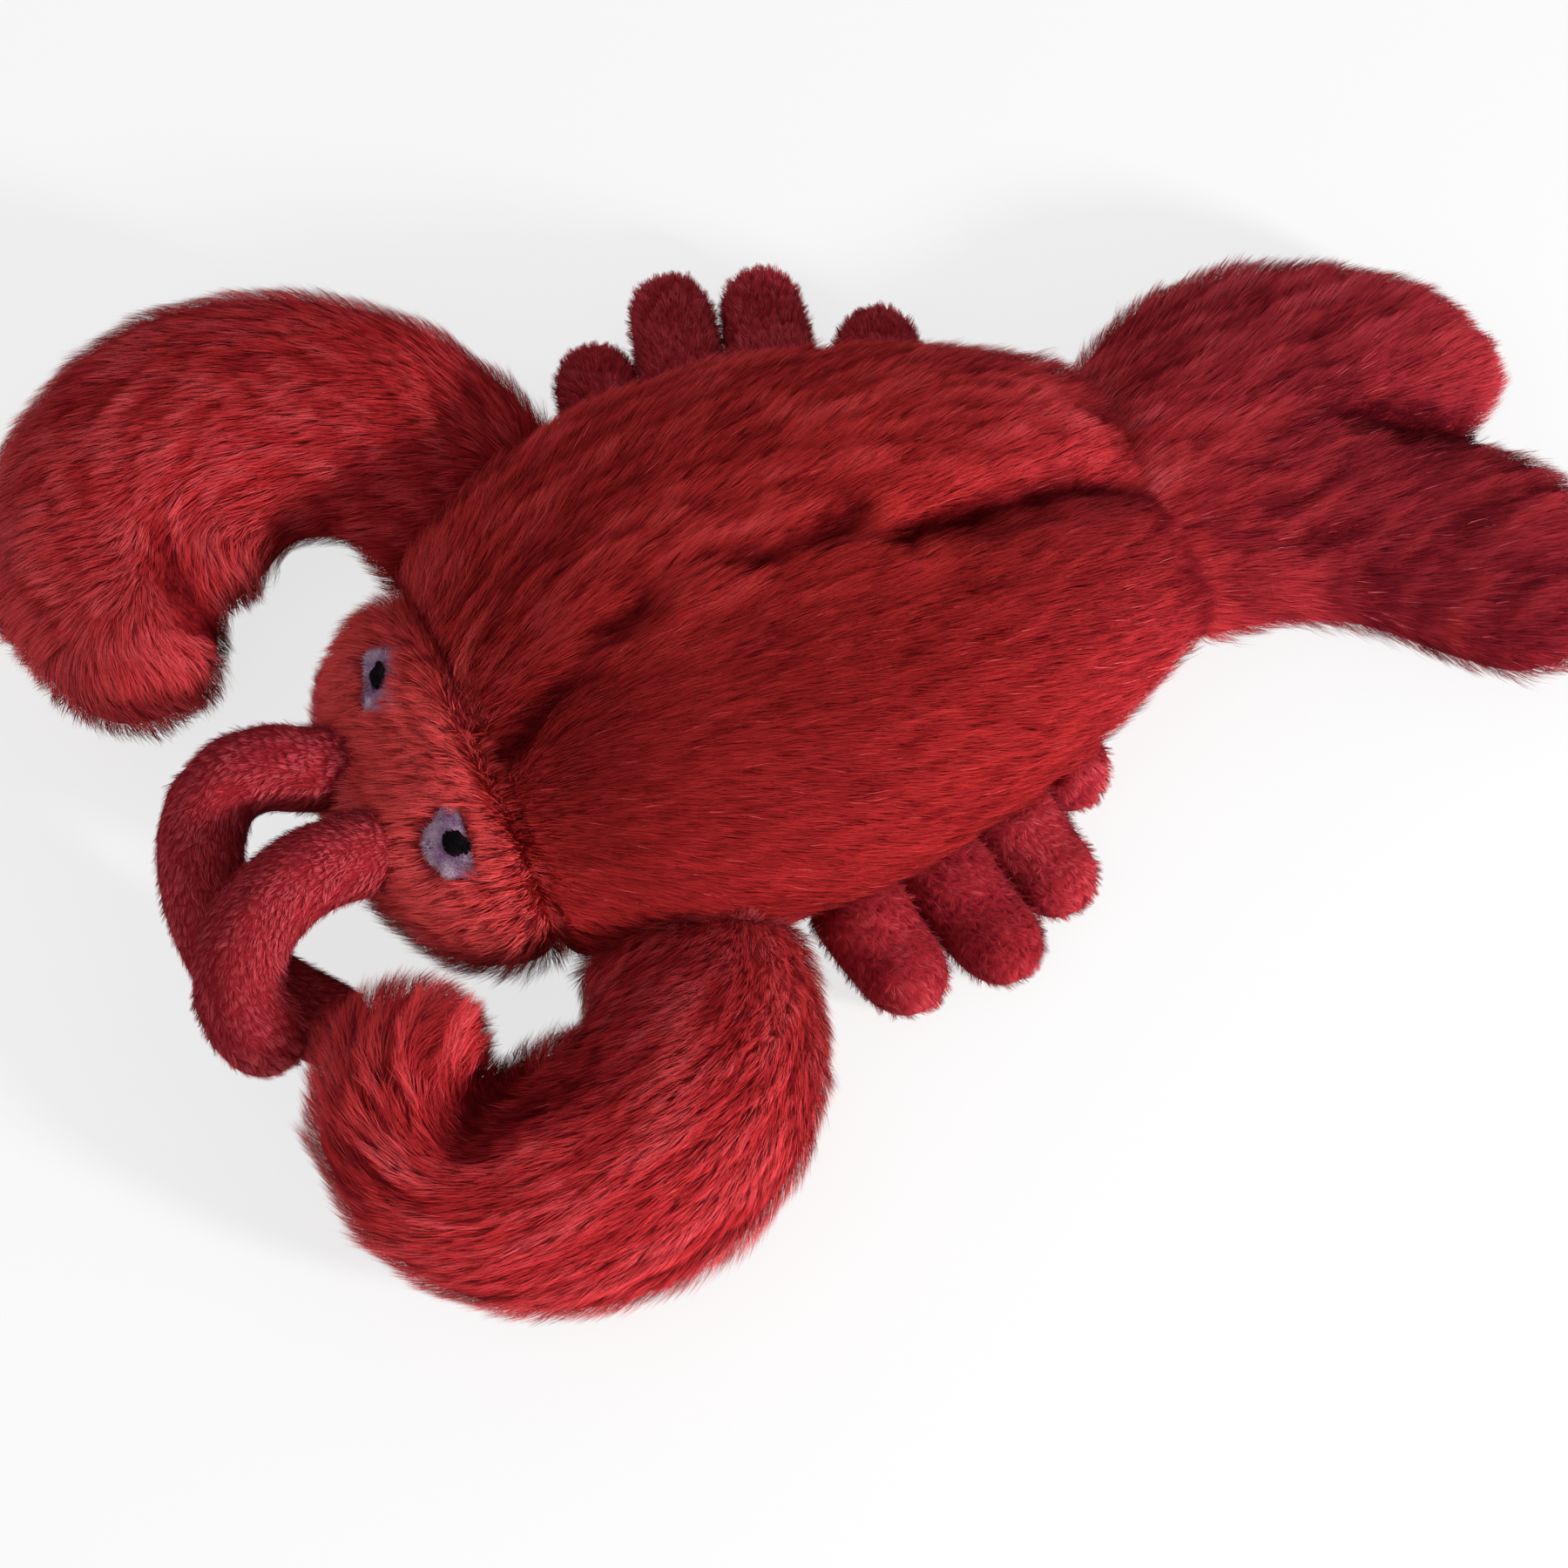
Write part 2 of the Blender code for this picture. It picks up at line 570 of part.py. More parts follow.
def main():
    for old in list(bpy.data.objects):
        bpy.data.objects.remove(old)
    long_pile = material("long_pile_fur", (0.285, 0.012, 0.016), 0.85)
    short_pile = material("short_pile_plush", (0.235, 0.010, 0.015), 0.90)
    eye_felt = material("eye_felt", (0.42, 0.34, 0.48), 0.90)
    pupil_thread = material("pupil_thread", (0.010, 0.008, 0.010), 0.60)

    make_back(long_pile)
    make_belly(short_pile)
    head = make_head(long_pile)
    make_tail(long_pile)

    body_cutter = body_form()
    head_cutter = head_form()
    cutters = (body_cutter, head_cutter)
    make_claw("left", CLAW_LEFT_WIDTH, CLAW_LEFT_ROUTE, THUMB_LEFT_ROUTE, long_pile, cutters)
    make_claw("right", CLAW_RIGHT_WIDTH, CLAW_RIGHT_ROUTE, THUMB_RIGHT_ROUTE, long_pile, cutters)
    for route, name in ((ANTENNA_LEFT_ROUTE, "antenna_left"), (ANTENNA_RIGHT_ROUTE, "antenna_right")):
        make_antenna(name, route, short_pile, head_cutter)
    for index in range(len(LEG_ROOTS)):
        make_leg(f"leg_left_{index + 1}", leg_route(1, index), short_pile, body_cutter)
        make_leg(f"leg_right_{index + 1}", leg_route(-1, index), short_pile, body_cutter)
    for side_name, side in (("left", 1), ("right", -1)):
        make_eye(side_name, side, head, eye_felt, pupil_thread)


main()
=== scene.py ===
"""Looks of the plush lobster dog toy: its stuffed skins, its long and short pile and its sewn eyes.

Metres, +Z up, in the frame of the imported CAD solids: head toward -Y, tail toward +Y, its left side +X.
"""

import math
from collections import namedtuple

import bpy
import numpy as np
from mathutils import Matrix, Vector, noise
from mathutils.bvhtree import BVHTree
from mathutils.kdtree import KDTree


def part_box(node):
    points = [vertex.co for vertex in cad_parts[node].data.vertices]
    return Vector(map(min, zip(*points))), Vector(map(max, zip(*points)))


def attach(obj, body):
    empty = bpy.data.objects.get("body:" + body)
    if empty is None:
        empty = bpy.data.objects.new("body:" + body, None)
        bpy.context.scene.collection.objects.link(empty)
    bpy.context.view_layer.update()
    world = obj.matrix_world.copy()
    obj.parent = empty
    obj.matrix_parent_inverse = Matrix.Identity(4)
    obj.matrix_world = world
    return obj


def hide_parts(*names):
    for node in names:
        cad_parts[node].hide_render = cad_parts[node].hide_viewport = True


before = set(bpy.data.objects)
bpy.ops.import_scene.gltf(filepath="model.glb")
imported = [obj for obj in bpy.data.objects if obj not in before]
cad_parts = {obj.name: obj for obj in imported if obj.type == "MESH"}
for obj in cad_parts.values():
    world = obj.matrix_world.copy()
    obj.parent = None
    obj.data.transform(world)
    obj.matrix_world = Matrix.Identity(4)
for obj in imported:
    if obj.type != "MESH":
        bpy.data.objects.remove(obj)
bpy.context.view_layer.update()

FLOOR_CLEARANCE = 0.0004
SEED = 20

# Camera: where it aims, from where round the toy, and how long its lens is

AIM = Vector((0.0415, -0.0245, 0.030))
CAMERA_AZIMUTH = math.radians(65)
CAMERA_ELEVATION = math.radians(62)
CAMERA_DISTANCE = 0.90
SENSOR_WIDTH = 36.0
LENS = 88.2

# Light: a white studio and two round lamps

WALL_LIGHT, CEILING_LIGHT = 0.78, 0.28
KEY_FROM, KEY_DISTANCE, KEY_SIZE, KEY_STRENGTH = Vector((0.78, 0.50, 0.36)), 1.3, 0.20, 1.32
FILL_DISTANCE, FILL_SIZE, FILL_STRENGTH = 1.4, 1.4, 0.10

# Stuffing

PRESSURE = 4.0
STUFFING_FRAMES = 14
SWELL_CAP = 0.0016  # how far the stuffing may move the cloth from its solid
EASE = {"claw_left": 0.0004, "claw_right": 0.0004, "tail_fan": 0.0, "head": 0.0002, "back_cover": 0.0004,
        "belly_panel": -0.0006, "antenna_left": 0.0010, "antenna_right": 0.0010}  # how much larger the cloth starts
LEG_EASE, LEG_ROOT_EASE = 0.0010, 0.0030  # of the legs, at the foot and further at the root
LEG_TUCK = 0.004  # how far a leg's root reaches in under the body
FLANK_EASE = 0.0020  # of the body's left flank, over its legs
FLANK_X, FLANK_Y, FLANK_FADES = 0.020, (-0.035, 0.100), (0.025, 0.020)  # where that flank starts and ends
SMOOTHINGS = 4
SEAM_REACH = 0.0025  # cloth this close to another piece is sewn there, and held
CONTACT = 0.0005  # skin this close to another piece, or to the floor, grows no pile

BIG_VOXEL = 0.0040
SMALL_VOXEL = 0.0026

# Routes that the claws' pile is combed along, from root to tip, and the nap of the cloth each was cut from

CLAW_LEFT_ROUTE = ((0.044, -0.059, 0.014), (0.070, -0.061, 0.017), (0.091, -0.067, 0.022),
                   (0.106, -0.081, 0.024), (0.111, -0.101, 0.024), (0.106, -0.121, 0.024),
                   (0.094, -0.134, 0.026), (0.080, -0.136, 0.029), (0.072, -0.127, 0.031),
                   (0.072, -0.117, 0.032))
CLAW_RIGHT_ROUTE = ((-0.044, -0.056, 0.014), (-0.066, -0.059, 0.018), (-0.089, -0.068, 0.023),
                    (-0.105, -0.088, 0.024), (-0.112, -0.112, 0.024), (-0.106, -0.134, 0.024),
                    (-0.088, -0.148, 0.023), (-0.067, -0.149, 0.023), (-0.045, -0.140, 0.023))
ANTENNA_LEFT_ROUTE = ((0.017, -0.100, 0.029), (0.018, -0.118, 0.032), (0.021, -0.137, 0.039),
                      (0.031, -0.154, 0.040), (0.045, -0.161, 0.036), (0.059, -0.154, 0.032))
ANTENNA_RIGHT_ROUTE = ((-0.006, -0.100, 0.028), (-0.006, -0.119, 0.031), (-0.012, -0.134, 0.034),
                       (-0.011, -0.146, 0.033), (0.000, -0.155, 0.029), (0.014, -0.158, 0.021),
                       (0.026, -0.156, 0.014), (0.037, -0.148, 0.0092), (0.051, -0.137, 0.0086))
CLAW_LEFT_NAP = (0.17, -1.0, 0.0)
CLAW_RIGHT_NAP = (-0.10, -1.0, 0.0)
ROUTE_BLUR = 0.009  # how far along a route its direction is averaged

# Folds: (x, y, depth) along each, with depth from 0 to 1; the cloth sinks there, the pile is short, and its shade is
# painted dark

BACK_FOLDS = (
    ((0.0170, -0.085, 0.75), (0.0144, -0.078, 0.95), (0.0101, -0.070, 0.80), (0.0086, -0.064, 0.45)),
    ((0.0027, -0.053, 0.60), (0.0003, -0.045, 0.65)),
    ((-0.0033, -0.020, 0.60), (0.0022, -0.013, 0.75), (0.0030, -0.009, 0.40)),
    ((0.0007, -0.001, 0.60), (-0.0005, 0.006, 0.85), (-0.0036, 0.012, 0.90), (-0.0072, 0.010, 0.50)),
    ((0.0074, 0.020, 1.00), (0.0056, 0.028, 1.20), (0.0050, 0.039, 1.00), (0.0051, 0.052, 0.90),
     (0.0039, 0.067, 0.95), (0.0084, 0.077, 0.75), (0.0137, 0.083, 0.35)))
GROOVE_FILL = ((0.0110, -0.070, 0.3), (0.0080, -0.050, 1.0), (0.0030, -0.025, 1.0), (0.0010, 0.0, 1.0),
               (0.0030, 0.014, 0.4))  # the back's long groove is raised along this line
GROOVE_RAISE, GROOVE_WIDTH = 0.0018, 0.0060
TAIL_CREASE = ((0.0050, 0.143, 0.7), (0.0080, 0.149, 1.2), (0.0138, 0.158, 1.5), (0.0200, 0.169, 1.4),
               (0.0230, 0.176, 1.2))
LEFT_TIP_FOLD = ((0.0860, -0.113, 1.3), (0.0875, -0.119, 1.4), (0.0930, -0.126, 1.1), (0.0982, -0.131, 0.7),
                 (0.1037, -0.137, 0.3))
PALM_SHADE = ((0.1009, -0.1271, 0.9), (0.0981, -0.1202, 0.8), (0.0976, -0.1120, 0.7), (0.0972, -0.1028, 0.6),
              (0.0983, -0.0955, 0.4))
RIGHT_TIP_FOLD = ((-0.0744, -0.135, 0.5), (-0.0647, -0.136, 1.1), (-0.0576, -0.134, 1.3))
FOLDS = {"back_cover": tuple((fold, 0.0036) for fold in BACK_FOLDS), "tail_fan": ((TAIL_CREASE, 0.0042),),
         "claw_left": ((LEFT_TIP_FOLD, 0.0050), (PALM_SHADE, 0.0065)),
         "claw_right": ((RIGHT_TIP_FOLD, 0.0040),)}  # each piece's folds, with their widths
FOLD_RAGGED = 0.0016  # how far a fold strays from its line
FOLD_SINK = 0.0032  # how far the cloth sinks in a fold of depth 1
FOLD_LOWEST = 0.012  # only cloth above this height is folded

# Seams that the long pile bridges: it lies level there, and doesn't follow the edges down into the seam

SEAM_BRIDGE = 0.013
STANDING = 1.45  # the rise of pile whose own cloth is in its way
NECK_TUFTS, NECK_TUFTS_WIDTH = 0.012, 0.018  # where across the neck the pile is most ruffled
TUFT_LEAN = {"head": 0.42, "back_cover": -0.25}  # how far past upright the ruffled pile leans

EYE_FACING = (0.40, -0.55, 0.73)  # of the left eye: outward, forward and up
PUPIL_RADIUS = 0.0039
THREAD_RADIUS, THREAD_PITCH = 0.00042, 0.000735
STITCHES = 5  # on each side of the middle one
PATCH_RADIUS = {"left": 0.0078, "right": 0.0092}
PATCH_THICKNESS, FELT_THICKNESS = 0.0016, 0.0006
PUPIL_SQUASH = {"left": ((-0.485, 0.778, 0.408), 0.80), "right": ((0.423, 0.906, 0.0), 0.62)}  # along a direction
PUPIL_BARE = 0.0034  # no pile grows this close to a pupil's middle
PATCH_RINGS, PATCH_SIDES, PATCH_FUZZ = 12, 48, 4200
EYE_PARTING = 0.011  # how far from an eye the pile in front of it lies away from it
PUPIL_CLEAR = {"left": 0.0030, "right": 0.0016}  # the pile behind an eye ends this far from the pupil's middle
OVER_PATCH = 0.80  # its rise, to lie over the patch
EYE_SIDE = 0.0080  # pile further aside than this passes the eye at its full length
EYE_REAR = {"left": (0.08, 0.98, 0.18), "right": (0.42, 0.91, 0.0)}  # toward where the pile covers the patch
EYE_OPEN = {"left": (-0.0090, 0.0010), "right": (-0.0031, 0.0024)}  # the open part, that way from the pupil

# Pile: lengths and widths are in metres, angles in radians from the skin, shares from 0 to 1

Pile = namedtuple("Pile", "length width rise fall locks gather swing lift_play ripple_length ripple_width contrast")
LONG_BACK = Pile(0.0082, 0.00016, 0.50, 0.20, 20, 0.30, 0.20, 0.45, 0.015, 0.0042, 0.17)
LONG_TAIL = Pile(0.0082, 0.00016, 0.58, 0.28, 20, 0.30, 0.20, 0.45, 0.014, 0.0040, 0.17)
LONG_HEAD = Pile(0.0078, 0.00016, 0.62, 0.30, 20, 0.38, 0.40, 0.50, 0.011, 0.0045, 0.18)
LONG_CLAW = Pile(0.0080, 0.00016, 0.58, 0.28, 20, 0.32, 0.22, 0.45, 0.013, 0.0036, 0.17)
LEG_PILE = Pile(0.0029, 0.00018, 0.92, 0.55, 14, 0.66, 0.85, 0.42, 0.005, 0.0028, 0.27)
ANTENNA_PILE = Pile(0.0030, 0.00019, 0.65, 0.30, 14, 0.55, 0.45, 0.50, 0.007, 0.0028, 0.20)
RIB_PITCH = 0.0021  # of the short pile
RIB_PULL = 0.80
RIB_WANDER = 0.0007
RIB_SHADE = 0.20  # painted shade: how much darker the pile is between the ribbing's crests, and lighter on them
BENT_SHARE = 0.5  # of the long pile; the rest of it is straight
GLINTS = 0.007  # share of fibres painted light as glints, as if they catch the light
# How much lighter each piece's pile is than the middle tone: partly its own colour, partly painted light and shade
# for how the light falls on its nap
NAP_TONE_AND_LIGHT = {"tail_fan": -0.09, "back_cover": -0.03, "head": 0.29, "claw_left": 0.03, "claw_right": 0.05,
            "antenna_left": 0.20, "antenna_right": 0.16, "leg_left_1": 0.06, "leg_left_2": -0.12,
            "leg_left_3": 0.07, "leg_left_4": 0.06, "leg_right_2": 0.05, "leg_right_3": 0.05}
MIDDLE_TONE = 0.46
NECK_TONE = {"head": -0.18, "back_cover": 0.15}  # at the neck's seam, on both of its sides
# Painted light and shade at the waist: the back's end darker where it faces the light, the tail's root lighter under
# the back's overhang
WAIST_SHADE_AND_LIGHT = {"back_cover": -0.27, "tail_fan": 0.27}
FOLD_SHADE = 0.45  # painted shade: how much darker the pile is in a fold
PARTING_SHADE = 0.55  # painted shade: and in the parting behind the left eye
GLINT_TONE = 0.90
LEFT_SIDE_SHADE = 0.20  # painted shade: how much darker the sleeker left side of the back and tail is, where the key lamp lights it most
REAR_SHADE_TURNS = (0.030, 0.135)  # painted shade: where along the toy the pile's colour turns from red to the cooler red of the shaded rear
RIGHT_CLAW_ROOT_SHADE = 0.26  # painted shade: how much lighter the right claw is at its tip than at its root, which lies in the body's shadow

BACK_FIBRES = 76000  # on each half of the back
TAIL_FIBRES = 78000
HEAD_FIBRES = 54000
CLAW_FIBRES = 78000
SHORT_DENSITY = 3.2e6  # fibres per square metre
UNDERSIDE_SHARE = 0.35  # of the pile's density, where the toy faces the floor
BELLY_SHARE = 0.20  # and of the belly's whole pile


# Helpers


def unit(vectors):
    return vectors / np.maximum(np.linalg.norm(vectors, axis=-1, keepdims=True), 1e-12)


def cross(a, b):
    return np.cross(a, b)


def dot(a, b):
    return np.sum(a * b, axis=-1, keepdims=True)


def vertex_array(mesh, what="co"):
    values = np.empty(len(mesh.vertices) * 3, np.float32)
    mesh.vertices.foreach_get(what, values)
    return values.reshape(-1, 3).astype(float)


def set_vertices(mesh, points):
    mesh.vertices.foreach_set("co", points.astype(np.float32).ravel())
    mesh.update()


def new_object(name, mesh):
    made = bpy.data.objects.new(name, mesh)
    bpy.context.collection.objects.link(made)
    return made


def applied(obj):
    """Puts the object's modified mesh in the place of its mesh and modifiers."""
    bpy.context.view_layer.update()
    mesh = bpy.data.meshes.new_from_object(obj.evaluated_get(bpy.context.evaluated_depsgraph_get()))
    obj.modifiers.clear()
    obj.data = mesh
    return obj


def polygon_tree(objects):
    points, faces = [], []
    for obj in objects:
        start = len(points)
        points.extend(v.co[:] for v in obj.data.vertices)
        faces.extend(tuple(start + i for i in p.vertices) for p in obj.data.polygons)
    return BVHTree.FromPolygons(points, faces)


def ripples(along, across, seed):
    """Smooth noise between about -1 and 1 at each pair of coordinates."""
    return np.array([noise.noise((a, c, seed)) for a, c in zip(along.tolist(), across.tolist())]) * 1.6


def fold_depth(points, fold, width):
    """How deep in a fold each point lies, from 0 to 1."""
    line = np.array(fold)
    stray = np.array([noise.noise((x * 170, y * 170, 2.0)) for x, y in points[:, :2].tolist()])
    best, depth = np.full(len(points), 9.0), np.zeros(len(points))
    for start, end in zip(line[:-1], line[1:]):
        span = end[:2] - start[:2]
        off = points[:, :2] - start[:2] + (stray * FOLD_RAGGED)[:, None]
        t = np.clip(off @ span / (span @ span), 0, 1)
        gap = off - t[:, None] * span
        distance = np.linalg.norm(gap, axis=1)
        nearer = distance < best
        best = np.where(nearer, distance, best)
        depth = np.where(nearer, start[2] + t * (end[2] - start[2]), depth)
    return np.minimum(depth * np.exp(-(best / width) ** 2), 1) * (points[:, 2] > FOLD_LOWEST)


# Materials


def nodes_of(material):
    material.use_nodes = True
    return material.node_tree.nodes, material.node_tree.links


def ramp(nodes, stops):
    made = nodes.new("ShaderNodeValToRGB")
    elements = made.color_ramp.elements
    while len(elements) < len(stops):
        elements.new(0.5)
    for element, (place, colour) in zip(elements, stops):
        element.position = place
        element.color = (*colour, 1)
    return made


def fibre_material(name, tones, along, roughness, sheen_tint, shaded_rear_tones=None):
    """The OFBake map holds each fibre's tone across and its way from root to tip upward."""
    material = bpy.data.materials.new(name)
    nodes, links = nodes_of(material)
    shader = nodes["Principled BSDF"]
    place = nodes.new("ShaderNodeUVMap")
    place.uv_map = "OFBake"
    split = nodes.new("ShaderNodeSeparateXYZ")
    links.new(place.outputs["UV"], split.inputs[0])
    tone = ramp(nodes, tones)
    links.new(split.outputs["X"], tone.inputs["Fac"])
    colour = tone.outputs["Color"]
    if shaded_rear_tones:  # painted shade: the colour turns from the front's tones to the rear's cooler, shaded ones at the waist
        where = nodes.new("ShaderNodeTexCoord")
        axes = nodes.new("ShaderNodeSeparateXYZ")
        links.new(where.outputs["Object"], axes.inputs[0])
        share = nodes.new("ShaderNodeMapRange")
        share.inputs["From Min"].default_value, share.inputs["From Max"].default_value = REAR_SHADE_TURNS
        links.new(axes.outputs["Y"], share.inputs["Value"])
        rear = ramp(nodes, shaded_rear_tones)
        links.new(split.outputs["X"], rear.inputs["Fac"])
        turn = nodes.new("ShaderNodeMix")
        turn.data_type = "RGBA"
        links.new(share.outputs["Result"], turn.inputs["Factor"])
        links.new(colour, turn.inputs["A"])
        links.new(rear.outputs["Color"], turn.inputs["B"])
        colour = turn.outputs["Result"]
    # painted shade: the colour darkens toward each fibre's root, for the shade deep in the pile, and is lightest at
    # its tip
    length = ramp(nodes, along)
    links.new(split.outputs["Y"], length.inputs["Fac"])
    mix = nodes.new("ShaderNodeMix")
    mix.data_type = "RGBA"
    mix.blend_type = "MULTIPLY"
    mix.inputs["Factor"].default_value = 1
    links.new(colour, mix.inputs["A"])
    links.new(length.outputs["Color"], mix.inputs["B"])
    links.new(mix.outputs["Result"], shader.inputs["Base Color"])
    shader.inputs["Roughness"].default_value = roughness
    shader.inputs["Specular IOR Level"].default_value = 0  # at grazing angles it would turn the pile white
    shader.inputs["Sheen Weight"].default_value = 0.13
    shader.inputs["Sheen Roughness"].default_value = 0.38
    shader.inputs["Sheen Tint"].default_value = (*sheen_tint, 1)
    return material


def cloth_material(name, dark, light, scale, bump=0.25, gloss=0.15):
    """Knitted backing that shows between the fibres: mottled, rough, finely bumped."""
    material = bpy.data.materials.new(name)
    nodes, links = nodes_of(material)
    shader = nodes["Principled BSDF"]
    place = nodes.new("ShaderNodeTexCoord")
    mottle = nodes.new("ShaderNodeTexNoise")
    mottle.inputs["Scale"].default_value = scale
    mottle.inputs["Detail"].default_value = 6
    links.new(place.outputs["Object"], mottle.inputs["Vector"])
    colours = ramp(nodes, ((0.30, dark), (0.70, light)))
    links.new(mottle.outputs["Fac"], colours.inputs["Fac"])
    links.new(colours.outputs["Color"], shader.inputs["Base Color"])
    grain = nodes.new("ShaderNodeBump")
    grain.inputs["Strength"].default_value = bump
    grain.inputs["Distance"].default_value = 0.0004
    links.new(mottle.outputs["Fac"], grain.inputs["Height"])
    links.new(grain.outputs["Normal"], shader.inputs["Normal"])
    shader.inputs["Roughness"].default_value = 0.92
    shader.inputs["Specular IOR Level"].default_value = gloss
    return material


# Stuffed skins


def eased(node, points, normals):
    """The solid's points moved out to the cloth's starting shape."""
    if not node.startswith("leg"):
        ease = np.full(len(points), EASE[node])
        if node == "back_cover":
            beside = np.clip((points[:, 0] - FLANK_X) / FLANK_FADES[0], 0, 1)
            from_front = np.clip((points[:, 1] - FLANK_Y[0]) / FLANK_FADES[1], 0, 1)
            ease += FLANK_EASE * beside * from_front * np.clip((FLANK_Y[1] - points[:, 1]) / FLANK_FADES[1], 0, 1)
        return points + normals * ease[:, None]
    low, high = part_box(node)
    side = 1 if low.x + high.x > 0 else -1
    root = np.clip(1 - np.abs(points[:, 0] - (low.x if side > 0 else high.x)) / (high.x - low.x), 0, 1)
    points = points + normals * (LEG_EASE + LEG_ROOT_EASE * root ** 1.5)[:, None] * np.array([1, 1, 0.5])
    points[:, 0] -= side * LEG_TUCK * root ** 4
    return points


def cloth_copy(node, voxel):
    """The solid's surface as evenly knitted cloth, eased to the size that its stuffing gives it."""
    skin = new_object(node + "_skin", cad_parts[node].data.copy())
    remesh = skin.modifiers.new("knit", "REMESH")
    remesh.mode = "VOXEL"
    remesh.voxel_size = voxel
    applied(skin)
    set_vertices(skin.data, eased(node, vertex_array(skin.data), vertex_array(skin.data, "normal")))
    return skin


def held_points(skin, others):
    tree = polygon_tree(others)
    return [v.index for v in skin.data.vertices
            if tree.find_nearest(v.co, SEAM_REACH)[0] is not None or v.co.z < SEAM_REACH]


def add_stuffing(skin, held):
    skin.vertex_groups.new(name="sewn").add(held, 1.0, "REPLACE")
    cloth = skin.modifiers.new("stuffing", "CLOTH")
    cloth.settings.quality = 4
    cloth.settings.mass = 0.15
    cloth.settings.tension_stiffness = 25
    cloth.settings.compression_stiffness = 25
    cloth.settings.bending_stiffness = 1.0
    cloth.settings.use_pressure = True
    cloth.settings.uniform_pressure_force = PRESSURE
    cloth.settings.vertex_group_mass = "sewn"
    cloth.settings.effector_weights.gravity = 0
    cloth.collision_settings.use_collision = False


def neighbours(mesh):
    edges = np.empty(len(mesh.edges) * 2, np.int32)
    mesh.edges.foreach_get("vertices", edges)
    return edges.reshape(-1, 2)


def smoothed(points, edges, times):
    """Evens out the points in pairs of steps, in and out again, so that thin limbs keep their thickness."""
    for share in (0.5, -0.51) * times:
        total = np.zeros_like(points)
        count = np.zeros(len(points))
        for a, b in ((0, 1), (1, 0)):
            np.add.at(total, edges[:, a], points[edges[:, b]])
            np.add.at(count, edges[:, a], 1)
        points = points + (total / count[:, None] - points) * share
    return points


def settle(skin, start, folds):
    """Takes the stuffed cloth as the skin, no further than the cap from where it started, then softens it."""
    applied(skin)
    moved = vertex_array(skin.data) - start
    reach = np.linalg.norm(moved, axis=1, keepdims=True)
    points = start + moved * np.minimum(1, SWELL_CAP / np.maximum(reach, 1e-9))
    points = smoothed(points, neighbours(skin.data), SMOOTHINGS)
    points[:, 2] = np.maximum(points[:, 2], FLOOR_CLEARANCE)
    set_vertices(skin.data, points)
    facing_up = np.maximum(vertex_array(skin.data, "normal")[:, 2], 0)
    for fold, width in folds:
        points[:, 2] -= FOLD_SINK * fold_depth(points, fold, width) * facing_up
    if folds and folds[0][0] is BACK_FOLDS[0]:
        points[:, 2] += GROOVE_RAISE * fold_depth(points, GROOVE_FILL, GROOVE_WIDTH) * facing_up
    set_vertices(skin.data, points)
    finer = skin.modifiers.new("finer", "SUBSURF")
    finer.levels = finer.render_levels = 1
    applied(skin)
    skin.data.shade_smooth()


def make_skins(pieces):
    """pieces: node, voxel. All the cloths are stuffed in one simulation."""
    skins = {node: cloth_copy(node, voxel) for node, voxel in pieces}
    starts = {node: vertex_array(skin.data) for node, skin in skins.items()}
    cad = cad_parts
    for node, skin in skins.items():
        add_stuffing(skin, held_points(skin, [cad[n] for n in cad if n != node]))
    for step in range(1, STUFFING_FRAMES + 1):
        bpy.context.scene.frame_set(step)
    for node, skin in skins.items():
        settle(skin, starts[node], FOLDS.get(node, ()))
    return skins


# Combing: each returns the combed direction at the points, and how far along and across the flow they are


def comb_back(points):
    """From the head to the tail, parting to both sides, most behind the head."""
    low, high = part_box("back_cover")
    middle, half = (low.x + high.x) / 2, (high.x - low.x) / 2
    x = points[:, 0] - middle
    front = np.clip((high.y - points[:, 1]) / (high.y - low.y), 0, 1)
    direction = np.stack([x / half * (0.20 + 0.70 * front), np.ones(len(x)), np.zeros(len(x))], 1)
    across = x + np.copysign(high.z - points[:, 2], x)
    return direction, points[:, 1], across


def comb_from(origin):
    """Radiating from a point."""
    def comb(points):
        away = points - np.array(origin)
        turn = np.arctan2(away[:, 0], away[:, 1])
        distance = np.linalg.norm(away, axis=1)
        return away, distance, turn * np.hypot(away[:, 0], away[:, 1]) + points[:, 2]
    return comb


def route_points(route, fineness=90):
    """A smooth curve through the route's points."""
    places, spans = [], len(route) - 1
    for i in range(fineness + 1):
        t = i / fineness * spans
        k = min(int(t), spans - 1)
        u = t - k
        p0, p1 = Vector(route[max(k - 1, 0)]), Vector(route[k])
        p2, p3 = Vector(route[k + 1]), Vector(route[min(k + 2, spans)])
        places.append(0.5 * (2 * p1 + (p2 - p0) * u + (2 * p0 - 5 * p1 + 4 * p2 - p3) * u * u
                             + (3 * p1 - p0 - 3 * p2 + p3) * u ** 3))
    return np.array(places)


